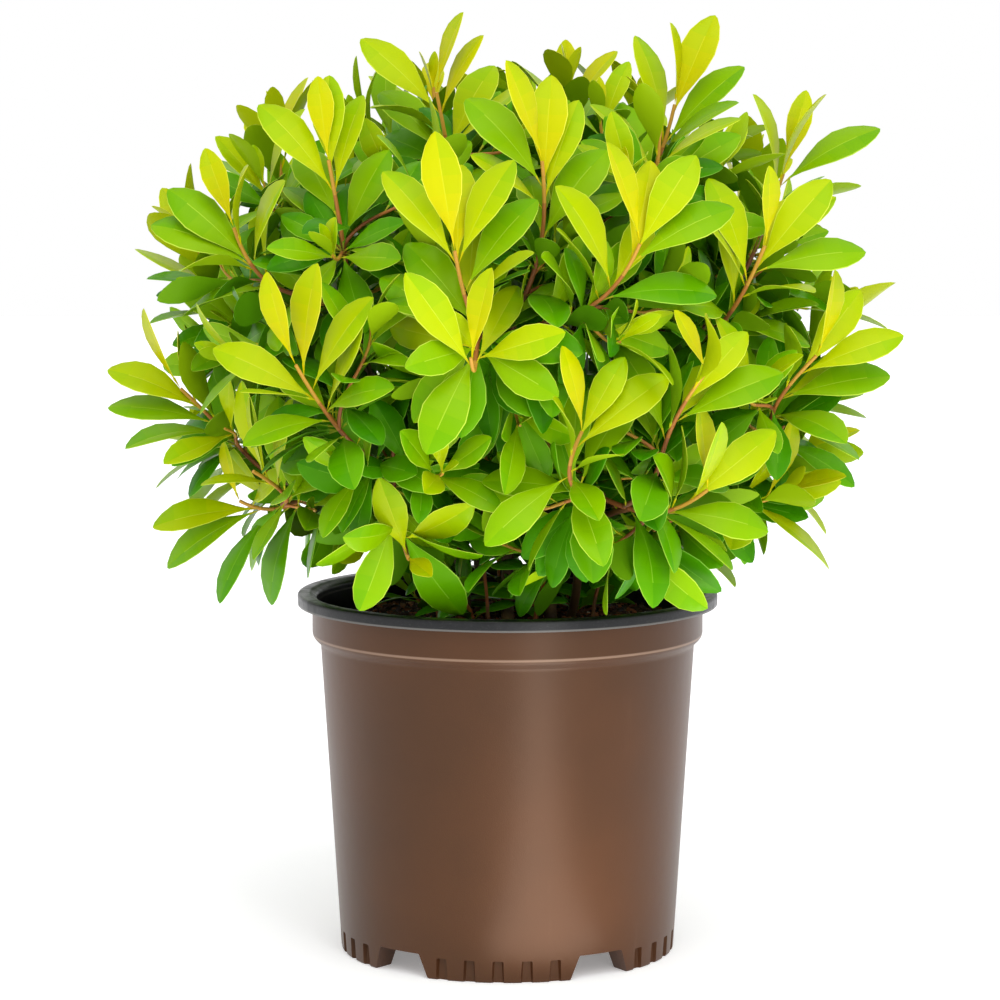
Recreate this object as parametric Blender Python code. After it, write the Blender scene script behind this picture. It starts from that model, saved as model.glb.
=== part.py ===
# A yellow anise shrub in a round nursery pot.
#
# Metres, +Z up. The origin is on the pot's axis, at the level of its feet, and -Y is the front.
# A turn is an angle round the axis, from the front and positive to the right (+X).
# A rise is an angle above the level, seen from the middle of the crown.

import math
import random

import bmesh
import bpy
from mathutils import Matrix, Vector
from mathutils.bvhtree import BVHTree

# Pot
POT_HEIGHT = 0.240
RIM_RADIUS = 0.140
RIM_SKIRT = 0.0077
RIM_THICKNESS = 0.0018
COLLAR_RADIUS = 0.1302
COLLAR_FOOT = 0.2115
SHOULDER_HEIGHT = 0.206
BODY_TOP_RADIUS = 0.1246
BODY_FOOT_RADIUS = 0.1116
WALL = 0.0016
BASE_THICKNESS = 0.002
EDGE = 0.0020
FEET = 5
FOOT_HEIGHT = 0.016
FOOT_WIDTH = 0.015
FOOT_GAP_ANGLE = math.radians(20.0)
FOOT_GAP_SLOPE = 0.006
FOOT_PATTERN_TURN = math.radians(-3.2)
FLUTES_PER_FOOT = 5
FLUTE_SPACING = math.radians(9.6)
FLUTE_WIDTH = 0.006
FLUTE_DEPTH = 0.0025
FLUTE_HEIGHT = 0.0145
LINER_FOOT = 0.214
LINER = 0.0013
LIP_WIDTH = 0.0085
LIP_EDGE = 0.0012
ROUND_STEPS = 40
CUT_PAST = 0.010

# Potting mix
SOIL_LEVEL = 0.2200
SOIL_FLAT_RADIUS = 0.062
SOIL_EDGE_DROP = 0.003
SOIL_RELIEF = 0.0016
SOIL_WAVES = (61.0, 83.0)

# Crown: a squared-off round form, widest at its waist
CROWN_TOP = 0.6305
CROWN_WAIST = 0.400
CROWN_FOOT = 0.205
CROWN_RADIUS = 0.271
CROWN_SQUARENESS = 2.5
ROSETTE_INSET = 0.054
SHOOTS = 44
SEAT_CHOICES = 600
LOWEST_SEAT_RISE = -46.0

# Turn and rise, in degrees, of the shoots that stand out at the front
FRONT_SHOOTS = (
    (-35, 65), (-41, 37), (-59, 23), (-9, 20), (7, 37), (23, 21),
    (87, 56), (86, 33), (51, 20), (-84, -6), (-37, 1), (-6, 3),
    (-78, -28), (-28, -42), (12, -9), (34, 0), (65, 1), (39, -21), (100, 77),
)

# Limbs: boughs round the axis in tiers of (count, rise, first turn), carried by a few stems.
# The boughs of the highest tier stand on the middle stem.
BOUGH_TIERS = ((7, -16, -24), (6, 26, 0), (3, 62, 40))
TOP_TIER_HEIGHT = 0.510
OUTER_STEMS = 5
STEM_SPREAD = 0.030
STEM_FORK = 0.290
STEM_FORK_SPREAD = 0.050
MIDDLE_STEM_EXTRA = 0.050
STEM_RADIUS = 0.0042
STEM_TAPER = 0.8
STEM_FLARE = 1.35
STEM_FLARE_HEIGHT = 0.004
BOUGH_RADIUS = 0.0026
BOUGH_TIP_RADIUS = 0.0021
BOUGH_SHARE = 0.42
BOUGH_LIFT = 0.35
LIMB_SIDES = 5
TWIG_SIDES = 3
TWIG_RADIUS = 0.0019
TWIG_TIP_RADIUS = 0.0015
TWIG_FORKS = 3
TWIG_SPREAD = 0.6
LEAN_AT_TOP = math.radians(4.0)
LEAN_AT_FOOT = math.radians(74.0)
LEAN_RISES = (-45.0, 55.0)

# Leaves, larger than life because there are fewer of them
LEAF_LENGTH = 0.086
LEAF_WIDTH = 0.0325
LEAF_THICKNESS = 0.0021
LEAF_WIDEST = 0.63
LEAF_FOLD = 0.10
LEAF_ARCH = 0.07
LEAVES_PER_SHOOT = 10
LEAFY_LENGTH = 0.078
LEAF_ANGLES = (20.0, 86.0)
LEAF_SIZES = (1.0, 0.94, 0.88, 0.82, 0.76, 0.70)
LEAF_SWINGS = ((0, 0), (22, 0), (-22, 0), (0, 16), (40, 8), (-40, 8))
YOUNG_LEAF_SHARE = 0.68
FIRST_LEAF = 0.002
LEAF_CROWDING = 1.25
SHARED_ROOT = 0.35
ROOT_SINK = 0.0012
SPIRAL = math.radians(137.5)

GAP = 0.0003
CLEARANCE = 0.0008
STRAIGHT = 0.003
PATH_PULL = 0.4
SEED = 7

MIDDLE = Vector((0.0, 0.0, CROWN_WAIST))
UP = Vector((0.0, 0.0, 1.0))


# Objects and materials

def clear_scene():
    for old in list(bpy.data.objects):
        bpy.data.objects.remove(old)


def material(name, colour, roughness):
    made = bpy.data.materials.new(name)
    made.use_nodes = True
    shader = made.node_tree.nodes["Principled BSDF"]
    shader.inputs["Base Color"].default_value = (*colour, 1.0)
    shader.inputs["Roughness"].default_value = roughness
    shader.inputs["Metallic"].default_value = 0.0
    return made


def object_from(name, bm, finish):
    mesh = bpy.data.meshes.new(name)
    bm.to_mesh(mesh)
    bm.free()
    mesh.materials.append(finish)
    made = bpy.data.objects.new(name, mesh)
    bpy.context.scene.collection.objects.link(made)
    return made


def shade_round(made, sharp_from=35.0):
    made.data.shade_smooth()
    made.data.set_sharp_from_angle(angle=math.radians(sharp_from))


def cutter_from(name, bm, target):
    cutter = object_from(name, bm, target.data.materials[0])
    cutter.hide_render = True
    cutter.display_type = "WIRE"
    cut = target.modifiers.new(name, "BOOLEAN")
    cut.operation = "DIFFERENCE"
    cut.object = cutter


# Directions

def direction(turn, rise=0.0):
    level = math.cos(rise)
    return Vector((level * math.sin(turn), -level * math.cos(turn), math.sin(rise)))


def smooth_step(low, high, value):
    t = min(max((value - low) / (high - low), 0.0), 1.0)
    return t * t * (3.0 - 2.0 * t)


def curve_points(start, start_way, end, end_way, count):
    """A smooth path between two places, leaving and arriving in the given directions."""
    pull = (end - start).length * PATH_PULL
    a, b = start + start_way * pull, end - end_way * pull
    path = []
    for step in range(count):
        t = step / (count - 1)
        s = 1.0 - t
        path.append(start * s**3 + a * (3 * s * s * t) + b * (3 * s * t * t) + end * t**3)
    return path


# Pot, rim and potting mix

def turned(profile, steps=ROUND_STEPS):
    """A solid turned round the axis from (radius, height) points that run up its outer side."""
    bm = bmesh.new()
    verts = [bm.verts.new((radius, 0.0, height)) for radius, height in profile]
    edges = [bm.edges.new(pair) for pair in zip(verts, verts[1:])]
    if min(radius for radius, height in profile) > 0.0:
        edges.append(bm.edges.new((verts[-1], verts[0])))
    bmesh.ops.spin(bm, geom=verts + edges, axis=UP, cent=(0, 0, 0), steps=steps,
                   angle=math.tau, use_merge=True)
    bmesh.ops.remove_doubles(bm, verts=bm.verts, dist=0.00001)
    bmesh.ops.recalc_face_normals(bm, faces=bm.faces)
    return bm


def body_radius(height):
    """Outer radius of the pot's tapered body."""
    return BODY_FOOT_RADIUS + (BODY_TOP_RADIUS - BODY_FOOT_RADIUS) * height / SHOULDER_HEIGHT


def make_pot(finish):
    base_top = FOOT_HEIGHT + BASE_THICKNESS
    rim_seat = POT_HEIGHT - RIM_THICKNESS - GAP
    foot_inside = BODY_FOOT_RADIUS - FOOT_WIDTH
    profile = [
        (0.0, FOOT_HEIGHT),
        (foot_inside - EDGE, FOOT_HEIGHT),
        (foot_inside, 0.0),
        (BODY_FOOT_RADIUS - EDGE, 0.0),
        (BODY_FOOT_RADIUS, EDGE),
        (BODY_TOP_RADIUS, SHOULDER_HEIGHT),
        (BODY_TOP_RADIUS + EDGE, SHOULDER_HEIGHT + EDGE),
        (COLLAR_RADIUS - EDGE / 2.0, COLLAR_FOOT - EDGE / 2.0),
        (COLLAR_RADIUS, COLLAR_FOOT + EDGE / 2.0),
        (COLLAR_RADIUS, rim_seat),
        (COLLAR_RADIUS - WALL, rim_seat),
        (COLLAR_RADIUS - WALL, COLLAR_FOOT + EDGE / 2.0),
        (BODY_TOP_RADIUS - WALL, SHOULDER_HEIGHT),
        (body_radius(base_top) - WALL, base_top),
        (0.0, base_top),
    ]
    pot = object_from("pot", turned(profile), finish)
    cutter_from("drain_gap_cutter", drain_gaps(), pot)
    cutter_from("flute_cutter", flutes(), pot)
    shade_round(pot)


def repeat_round(bm, count, spacing, first_turn):
    """Turns what a bmesh holds to its first place and repeats it round the axis."""
    bmesh.ops.rotate(bm, verts=bm.verts, cent=(0, 0, 0), matrix=Matrix.Rotation(first_turn, 3, "Z"))
    source = bm.verts[:] + bm.edges[:] + bm.faces[:]
    for index in range(1, count):
        copy = bmesh.ops.duplicate(bm, geom=source)["geom"]
        copied = [part for part in copy if isinstance(part, bmesh.types.BMVert)]
        bmesh.ops.rotate(bm, verts=copied, cent=(0, 0, 0),
                         matrix=Matrix.Rotation(index * spacing, 3, "Z"))


def wedge(width_below, width_above, height, front, back):
    """A block in front of the axis, wider at its foot, from below the floor up to a height."""
    bm = bmesh.new()
    bmesh.ops.create_cube(bm, size=1.0)
    slope = (width_below - width_above) / height
    for vert in bm.verts:
        vert.co.z = height if vert.co.z > 0 else -CUT_PAST
        width = width_above + slope * (height - vert.co.z)
        vert.co.x *= width
        vert.co.y = -front if vert.co.y < 0 else -back
    return bm


def drain_gaps():
    width = 2.0 * BODY_FOOT_RADIUS * math.sin(FOOT_GAP_ANGLE / 2.0)
    bm = wedge(width + FOOT_GAP_SLOPE, width - FOOT_GAP_SLOPE, FOOT_HEIGHT - GAP,
               BODY_FOOT_RADIUS + CUT_PAST, BODY_FOOT_RADIUS - FOOT_WIDTH - CUT_PAST)
    repeat_round(bm, FEET, math.tau / FEET, FOOT_PATTERN_TURN + math.pi / FEET)
    return bm


def flutes():
    bm = wedge(FLUTE_WIDTH * 1.25, FLUTE_WIDTH, FLUTE_HEIGHT,
               BODY_FOOT_RADIUS + CUT_PAST, BODY_FOOT_RADIUS - FLUTE_DEPTH)
    first = -0.5 * (FLUTES_PER_FOOT - 1) * FLUTE_SPACING
    repeat_round(bm, FLUTES_PER_FOOT, FLUTE_SPACING, first)
    repeat_round(bm, FEET, math.tau / FEET, FOOT_PATTERN_TURN)
    return bm


def make_rim(finish):
    top, skirt_foot = POT_HEIGHT, POT_HEIGHT - RIM_SKIRT
    under = top - RIM_THICKNESS
    liner_outside = COLLAR_RADIUS - WALL - GAP
    liner_inside = liner_outside - LINER
    skirt_inside = RIM_RADIUS - RIM_THICKNESS
    profile = [
        (liner_inside, LINER_FOOT),
        (liner_outside, LINER_FOOT),
        (liner_outside, under),
        (skirt_inside, under),
        (skirt_inside, skirt_foot),
        (RIM_RADIUS, skirt_foot),
        (RIM_RADIUS, top - LIP_EDGE),
        (RIM_RADIUS - LIP_EDGE, top),
        (RIM_RADIUS - LIP_WIDTH, top),
        (liner_inside, under),
    ]
    rim = object_from("pot_rim", turned(profile), finish)
    shade_round(rim)
    return rim


def make_potting_mix(finish):
    inside = WALL + GAP
    low = FOOT_HEIGHT + BASE_THICKNESS + GAP
    edge_radius = COLLAR_RADIUS - WALL - LINER - 2.0 * GAP
    profile = [
        (0.0, low),
        (body_radius(low) - inside, low),
        (BODY_TOP_RADIUS - inside, SHOULDER_HEIGHT),
        (edge_radius - EDGE / 2.0, LINER_FOOT - EDGE / 2.0),
        (edge_radius, LINER_FOOT + EDGE / 2.0),
    ]
    surface_steps = 3
    for step in range(surface_steps + 1):
        share = step / surface_steps
        radius = edge_radius + (SOIL_FLAT_RADIUS - edge_radius) * share
        profile.append((radius, SOIL_LEVEL - SOIL_EDGE_DROP * (1.0 - share) ** 2))
    profile.append((0.0, SOIL_LEVEL))
    bm = turned(profile)
    for vert in bm.verts:
        radius = math.hypot(vert.co.x, vert.co.y)
        if vert.co.z > LINER_FOOT + EDGE and radius > SOIL_FLAT_RADIUS + EDGE:
            wave = math.sin(SOIL_WAVES[0] * vert.co.x + 1.0) * math.sin(SOIL_WAVES[1] * vert.co.y)
            vert.co.z += SOIL_RELIEF * wave
    return object_from("potting_mix", bm, finish)


# Crown form

def crown_fill(place, inset=0.0):
    """0 at the middle of the crown and 1 on its skin, or on the skin moved in by inset."""
    reach = CROWN_TOP - CROWN_WAIST if place.z > CROWN_WAIST else CROWN_WAIST - CROWN_FOOT
    out = math.hypot(place.x, place.y) / (CROWN_RADIUS - inset)
    up = abs(place.z - CROWN_WAIST) / (reach - inset)
    return out**CROWN_SQUARENESS + up**CROWN_SQUARENESS


def on_crown(way, inset=0.0):
    """Where a line from the middle of the crown meets its skin."""
    return MIDDLE + way * crown_fill(MIDDLE + way, inset) ** (-1.0 / CROWN_SQUARENESS)


def shoot_lean(rise):
    """A shoot leans out from upright, the more the lower it stands."""
    share = smooth_step(*LEAN_RISES, math.degrees(rise))
    return LEAN_AT_FOOT + (LEAN_AT_TOP - LEAN_AT_FOOT) * share


def shoot_seats():
    """Tips of the shoots: those at the front, then the emptiest place on the crown each time."""
    seats = [on_crown(direction(math.radians(turn), math.radians(rise)), ROSETTE_INSET)
             for turn, rise in FRONT_SHOOTS]
    spots = []
    lowest = math.sin(math.radians(LOWEST_SEAT_RISE))
    for index in range(SEAT_CHOICES):
        rise = math.asin(lowest + (1.0 - lowest) * (index + 0.5) / SEAT_CHOICES)
        spots.append(on_crown(direction(index * SPIRAL, rise), ROSETTE_INSET))
    while len(seats) < SHOOTS:
        seats.append(max(spots, key=lambda spot: min((spot - seat).length for seat in seats)))
    return seats


def seat_way(seat):
    """The direction in which the shoot that ends at this seat points."""
    offset = seat - MIDDLE
    lean = shoot_lean(math.atan2(offset.z, math.hypot(offset.x, offset.y)))
    out = Vector((offset.x, offset.y, 0.0)).normalized()
    return UP * math.cos(lean) + out * math.sin(lean)


# Limbs

def tube(path, radii, sides):
    """A tapering solid along a path, with flat ends."""
    bm = bmesh.new()
    rings = []
    side = (path[1] - path[0]).orthogonal().normalized()
    for index, (place, radius) in enumerate(zip(path, radii)):
        ahead = path[min(index + 1, len(path) - 1)] - path[max(index - 1, 0)]
        ahead.normalize()
        side = (side - ahead * side.dot(ahead)).normalized()
        frame = Matrix((side, ahead.cross(side), ahead)).transposed().to_4x4()
        frame.translation = place
        ring = bmesh.ops.create_circle(bm, segments=sides, radius=radius, matrix=frame)["verts"]
        rings.append(list({edge for vert in ring for edge in vert.link_edges}))
    for near, far in zip(rings, rings[1:]):
        bmesh.ops.bridge_loops(bm, edges=near + far)
    bmesh.ops.holes_fill(bm, edges=rings[0] + rings[-1])
    bmesh.ops.recalc_face_normals(bm, faces=bm.faces)
    return bm


def taper(first, last, count):
    return [first + (last - first) * step / (count - 1) for step in range(count)]


class Limb:
    """A stem or a bough: a named tapering path."""

    def __init__(self, name, path, radii):
        self.name = name
        self.path = path
        self.radii = radii

    def solid(self, spare=0.0):
        return tube(self.path, [radius + spare for radius in self.radii], LIMB_SIDES)

    @property
    def tip(self):
        return self.path[-1]

    @property
    def way(self):
        return (self.path[-1] - self.path[-2]).normalized()


def stem_limbs():
    """Stems round the axis that lean out, and a taller one up the middle."""
    stems = []
    for index in range(OUTER_STEMS + 1):
        outer = index < OUTER_STEMS
        out = direction(index * math.tau / OUTER_STEMS)
        foot = out * (STEM_SPREAD if outer else 0.0) + UP * (SOIL_LEVEL + GAP)
        fork = UP * (STEM_FORK if outer else STEM_FORK + MIDDLE_STEM_EXTRA)
        fork += out * (STEM_FORK_SPREAD if outer else 0.0)
        fork_way = (UP + out).normalized() if outer else UP
        path = curve_points(foot, UP, fork, fork_way, 7)
        path.insert(1, foot + UP * STEM_FLARE_HEIGHT)
        radii = [STEM_RADIUS * STEM_FLARE]
        radii += taper(STEM_RADIUS, STEM_RADIUS * STEM_TAPER, len(path) - 1)
        stems.append(Limb(f"stem_{index + 1}", path, radii))
    return stems


def bough_groups(seats):
    """Shares the seats among the boughs, each to the bough that points nearest to it."""
    ways = []
    for count, rise, first in BOUGH_TIERS:
        for index in range(count):
            turn = math.radians(first + index * 360.0 / count)
            ways.append(direction(turn, math.radians(rise)))
    groups = [[] for _ in ways]
    for seat in seats:
        toward = (seat - MIDDLE).normalized()
        best = max(range(len(ways)), key=lambda number: ways[number].dot(toward))
        groups[best].append(seat)
    return [group for group in groups if group]


def mean_place(places):
    return sum(places, Vector()) / len(places)


def places_round_tip(stem, load):
    """Gives the boughs of a stem even places round its tip, in the order in which they point."""
    side = stem.way.orthogonal().normalized()
    across = stem.way.cross(side)
    centre = mean_place([middle for number, middle in load])
    pointing = []
    for number, middle in load:
        aside = middle - centre
        pointing.append((math.atan2(aside.dot(across), aside.dot(side)), number, middle))
    pointing.sort()
    step = math.tau / len(load)
    turned_back = [angle - index * step for index, (angle, _, _) in enumerate(pointing)]
    first = math.atan2(sum(map(math.sin, turned_back)), sum(map(math.cos, turned_back)))
    ring = (BOUGH_RADIUS + GAP) / math.sin(step / 2.0) if len(load) > 1 else 0.0
    for index, (_, number, middle) in enumerate(pointing):
        angle = first + index * step
        out = side * math.cos(angle) + across * math.sin(angle)
        yield number, middle, stem.tip + stem.way * GAP + out * ring


def bough_limbs(stems, groups):
    """Boughs stand on the fork of the stem that leans their way, side by side round its tip."""
    carried = [[] for _ in stems]
    for number, group in enumerate(groups):
        middle = mean_place(group)
        best = len(stems) - 1
        if middle.z < TOP_TIER_HEIGHT:
            best = min(range(best), key=lambda index: (stems[index].tip - middle).xy.length)
        carried[best].append((number, middle))
    boughs = {}
    for stem, load in zip(stems, carried):
        for number, middle, start in places_round_tip(stem, load):
            end = start + (middle - start) * BOUGH_SHARE
            end_way = ((middle - start).normalized() + UP * BOUGH_LIFT).normalized()
            path = curve_points(start, stem.way, end, end_way, 6)
            path.insert(1, start + stem.way * STRAIGHT)
            radii = taper(BOUGH_RADIUS, BOUGH_TIP_RADIUS, len(path))
            boughs[number] = Limb(f"bough_{number + 1:02d}", path, radii)
    return [boughs[number] for number in range(len(groups))]


# Leaves

def leaf_corners(place, along, upper, length, spare=0.0, from_share=0.0):
    """Root, four points round the widest place, and tip of a folded, arched leaf.

    Spare widens and thickens it, and from_share leaves off that part of its way to the crest.
    """
    side = along.cross(upper).normalized()
    half = 0.5 * LEAF_WIDTH * length / LEAF_LENGTH + spare
    thick = 0.5 * LEAF_THICKNESS + spare
    crest = place + along * (LEAF_WIDEST * length) + upper * (LEAF_ARCH * length)
    trough = crest - upper * (LEAF_FOLD * half * 2.0)
    root = place.lerp(crest, from_share) if from_share else place - along * ROOT_SINK
    tip = place + along * length - upper * (LEAF_ARCH * length)
    return [root, crest + side * half, trough + upper * thick, crest - side * half,
            trough - upper * thick, tip]


def leaf_faces():
    faces = []
    for index in range(4):
        near, far = 1 + index, 1 + (index + 1) % 4
        faces += [(0, near, far), (5, far, near)]
    return faces


def leaf_solid(corners):
    bm = bmesh.new()
    verts = [bm.verts.new(corner) for corner in corners]
    for face in leaf_faces():
        bm.faces.new([verts[number] for number in face])
    bmesh.ops.recalc_face_normals(bm, faces=bm.faces)
    return bm


def leaf_places(path, way):
    """Root, axis and age of each leaf down a shoot; age is 0 at the tip and 1 at the oldest."""
    lengths = [0.0]
    for near, far in zip(path, path[1:]):
        lengths.append(lengths[-1] + (far - near).length)
    places = []
    for index in range(LEAVES_PER_SHOOT):
        age = index / (LEAVES_PER_SHOOT - 1)
        back = FIRST_LEAF + LEAFY_LENGTH * age**LEAF_CROWDING
        along = max(lengths[-1] - back, 0.2 * lengths[-1])
        segment = max(number for number, length in enumerate(lengths[:-1]) if length <= along)
        share = (along - lengths[segment]) / (lengths[segment + 1] - lengths[segment])
        place = path[segment].lerp(path[segment + 1], share)
        axis = (path[segment + 1] - path[segment]).normalized().lerp(way, 0.5).normalized()
        places.append((place, axis, age))
    return places


class Mass:
    """The foliage at the end of one bough: a stem, its twigs and their leaves."""

    def __init__(self, name, bough, seats):
        self.name = name
        self.bough = bough
        centre = mean_place(seats)
        self.seats = sorted(seats, key=lambda seat: (seat - centre).length)
        self.twigs = []
        self.leaves = []


def twig_paths(mass):
    """The stem runs to the middle seat, and a twig leaves it for each other seat."""
    start, start_way = mass.bough.tip + mass.bough.way * GAP, mass.bough.way
    way = seat_way(mass.seats[0])
    stem = curve_points(start, start_way, mass.seats[0], way, 6)
    stem.insert(1, start + start_way * STRAIGHT)
    yield stem, BOUGH_TIP_RADIUS, way
    for index, seat in enumerate(mass.seats[1:]):
        fork = 2 + index % TWIG_FORKS
        root, way = stem[fork], seat_way(seat)
        away = (stem[fork + 1] - root).normalized().lerp((seat - root).normalized(), TWIG_SPREAD)
        yield curve_points(root, away.normalized(), seat, way, 6), TWIG_RADIUS, way


class Crown:
    """Holds the limbs and masses, and knows which places are free."""

    def __init__(self, limbs, masses, pot_parts):
        self.masses = masses
        self.solid_trees = [tree_of(limb.solid(CLEARANCE)) for limb in limbs]
        self.solid_trees += [BVHTree.FromObject(part, bpy.context.evaluated_depsgraph_get())
                             for part in pot_parts]
        self.twig_trees = []
        self.leaf_trees = []

    def owner(self, place):
        return min(self.masses, key=lambda mass: min((place - seat).length for seat in mass.seats))

    def add_twigs(self, mass):
        for path, radius, way in twig_paths(mass):
            radii = taper(radius, TWIG_TIP_RADIUS, len(path))
            tested = tree_of(tube(path[1:], [size + CLEARANCE for size in radii[1:]], TWIG_SIDES))
            others = [tree for owner, tree in self.twig_trees if owner is not mass]
            if touches(tested, self.solid_trees + others):
                continue
            mass.twigs.append((path, radii, way))
            self.twig_trees.append((mass, tested))

    def leaf_fits(self, mass, place, along, upper, length):
        """The leaf's corners, or nothing where it would leave its space or touch something."""
        corners = leaf_corners(place, along, upper, length)
        for corner in corners[1:]:
            if crown_fill(corner) > 1.0 or not above_pot(corner) or self.owner(corner) is not mass:
                return None
        whole = tree_from(leaf_corners(place, along, upper, length, CLEARANCE))
        outer = tree_from(leaf_corners(place, along, upper, length, CLEARANCE, SHARED_ROOT))
        trees = self.twig_trees + [
            (owner, tree) for owner, middle, tree in self.leaf_trees
            if (middle - corners[1]).length < 1.5 * LEAF_LENGTH]
        foreign = [tree for owner, tree in trees if owner is not mass]
        own = [tree for owner, tree in trees if owner is mass]
        if touches(whole, self.solid_trees + foreign) or touches(outer, own):
            return None
        self.leaf_trees.append((mass, corners[1], whole))
        return corners

    def add_leaves(self, mass, chance):
        for path, _, way in mass.twigs:
            spin = chance.uniform(0.0, math.tau)
            for place, axis, age in leaf_places(path, way):
                spin += SPIRAL
                self.add_leaf(mass, place, axis, age, spin, chance)

    def add_leaf(self, mass, place, axis, age, spin, chance):
        """Tries a leaf as it would grow, then swung aside, closer in and shorter."""
        first, last = LEAF_ANGLES
        wanted = first + (last - first) * age**0.8 + chance.uniform(-6.0, 6.0)
        full = LEAF_LENGTH * (YOUNG_LEAF_SHARE + (1.0 - YOUNG_LEAF_SHARE) * min(age * 2.0, 1.0))
        full *= chance.uniform(0.92, 1.0)
        side = axis.orthogonal().normalized()
        for size in LEAF_SIZES:
            for swing, close in LEAF_SWINGS:
                out = Matrix.Rotation(spin + math.radians(swing), 3, axis) @ side
                angle = math.radians(wanted - close)
                along = axis * math.cos(angle) + out * math.sin(angle)
                upper = axis * math.sin(angle) - out * math.cos(angle)
                corners = self.leaf_fits(mass, place, along, upper, full * size)
                if corners:
                    mass.leaves.append(corners)
                    return


def above_pot(place):
    """Leaves stay off the potting mix and hang over the rim, not through it."""
    radius = math.hypot(place.x, place.y)
    return radius > RIM_RADIUS + EDGE or place.z > POT_HEIGHT + EDGE


def tree_of(bm):
    tree = BVHTree.FromBMesh(bm)
    bm.free()
    return tree


def tree_from(corners):
    return BVHTree.FromPolygons(corners, leaf_faces())


def touches(tree, others):
    return any(tree.overlap(other) for other in others)


# Joining a mass

def keep_largest(mesh):
    """Drops loose scraps, and the inner skins of sealed hollows, from a joined mesh."""
    bm = bmesh.new()
    bm.from_mesh(mesh)
    left, islands = set(bm.verts), []
    while left:
        island, edge_of = set(), [left.pop()]
        while edge_of:
            vert = edge_of.pop()
            island.add(vert)
            found = {edge.other_vert(vert) for edge in vert.link_edges} & left
            left -= found
            edge_of.extend(found)
        islands.append(island)
    islands.sort(key=len)
    scraps = [vert for island in islands[:-1] for vert in island]
    bmesh.ops.delete(bm, geom=scraps, context="VERTS")
    bmesh.ops.triangulate(bm, faces=bm.faces)
    bm.to_mesh(mesh)
    bm.free()
    return len(islands) - 1


def join_mass(mass, finish):
    """One union of the stem with the mass's twigs and leaves."""
    pieces = [object_from(mass.name, tube(path, radii, TWIG_SIDES), finish)
              for path, radii, _ in mass.twigs]
    pieces += [object_from(mass.name, leaf_solid(corners), finish) for corners in mass.leaves]
    group = bpy.data.collections.new(mass.name + "_pieces")
    bpy.context.scene.collection.children.link(group)
    for piece in pieces[1:]:
        group.objects.link(piece)
        bpy.context.scene.collection.objects.unlink(piece)
    union = pieces[0].modifiers.new("join", "BOOLEAN")
    union.operation = "UNION"
    union.operand_type = "COLLECTION"
    union.collection = group
    union.solver = "EXACT"
    joined = bpy.data.meshes.new_from_object(
        pieces[0].evaluated_get(bpy.context.evaluated_depsgraph_get()))
    for piece in pieces:
        bpy.data.objects.remove(piece)
    bpy.data.collections.remove(group)
    scraps = keep_largest(joined)
    made = bpy.data.objects.new(mass.name, joined)
    bpy.context.scene.collection.objects.link(made)
    print(mass.name, len(mass.leaves), "leaves,", len(joined.polygons), "faces,", scraps, "scraps")
    return made


def main():
    clear_scene()
    brown = material("pot_brown", (0.155, 0.082, 0.050), 0.45)
    black = material("rim_black", (0.018, 0.018, 0.020), 0.40)
    mix = material("bark_mix", (0.035, 0.020, 0.012), 0.95)
    bark = material("bark", (0.200, 0.100, 0.035), 0.70)
    leaf = material("leaf_green", (0.180, 0.420, 0.020), 0.40)

    make_pot(brown)
    rim = make_rim(black)
    soil = make_potting_mix(mix)

    seats = shoot_seats()
    groups = bough_groups(seats)
    stems = stem_limbs()
    boughs = bough_limbs(stems, groups)
    masses = [Mass(f"foliage_{number + 1:02d}", bough, group)
              for number, (bough, group) in enumerate(zip(boughs, groups))]
    for limb in stems + boughs:
        shade_round(object_from(limb.name, limb.solid(), bark), 60.0)

    crown = Crown(stems + boughs, masses, [rim, soil])
    chance = random.Random(SEED)
    for mass in masses:
        crown.add_twigs(mass)
    for mass in masses:
        crown.add_leaves(mass, chance)
    for mass in masses:
        join_mass(mass, leaf)
    print(len(seats), "shoots,", sum(len(mass.twigs) for mass in masses), "twigs,",
          sum(len(mass.leaves) for mass in masses), "leaves")


main()
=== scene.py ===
# %% [markdown]
# A yellow anise shrub in a round nursery pot.
# The real plant is a young evergreen shrub. A few stems rise from the potting mix and fork into
# upright shoots, and every shoot ends in a ring of long smooth leaves, lime yellow when new.
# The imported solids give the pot, the limbs and the reach of the crown. This script dresses them:
# it models a finer pot, then grows the crown again by the same rule, down to single leaves.

# %% The frame
import itertools
import math
import random

import bmesh
import bpy
import numpy as np
from mathutils import Matrix, Vector, noise
from mathutils.bvhtree import BVHTree


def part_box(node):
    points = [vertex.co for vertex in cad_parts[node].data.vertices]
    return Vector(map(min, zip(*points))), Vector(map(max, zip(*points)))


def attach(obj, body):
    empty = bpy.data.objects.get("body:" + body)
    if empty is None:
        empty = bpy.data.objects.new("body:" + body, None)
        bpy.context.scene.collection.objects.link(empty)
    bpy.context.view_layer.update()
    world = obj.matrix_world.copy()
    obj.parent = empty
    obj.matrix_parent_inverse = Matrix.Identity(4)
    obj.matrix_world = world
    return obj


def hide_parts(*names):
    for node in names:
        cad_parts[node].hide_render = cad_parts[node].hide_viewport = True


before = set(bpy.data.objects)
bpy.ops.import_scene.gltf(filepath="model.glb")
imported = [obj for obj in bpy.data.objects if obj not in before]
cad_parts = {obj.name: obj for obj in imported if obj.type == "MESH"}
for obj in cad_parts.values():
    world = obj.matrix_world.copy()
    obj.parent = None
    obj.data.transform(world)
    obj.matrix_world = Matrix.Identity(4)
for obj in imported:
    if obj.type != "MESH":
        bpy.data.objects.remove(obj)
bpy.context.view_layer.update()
UP = Vector((0.0, 0.0, 1.0))

# %% [markdown]
# The camera stands in front, a little above the pot, and looks down slightly.
# A long lens keeps the pot's sides almost parallel, as in a catalogue picture.
# Its place was worked out from the width and the curve of the pot's rim and foot.

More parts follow.
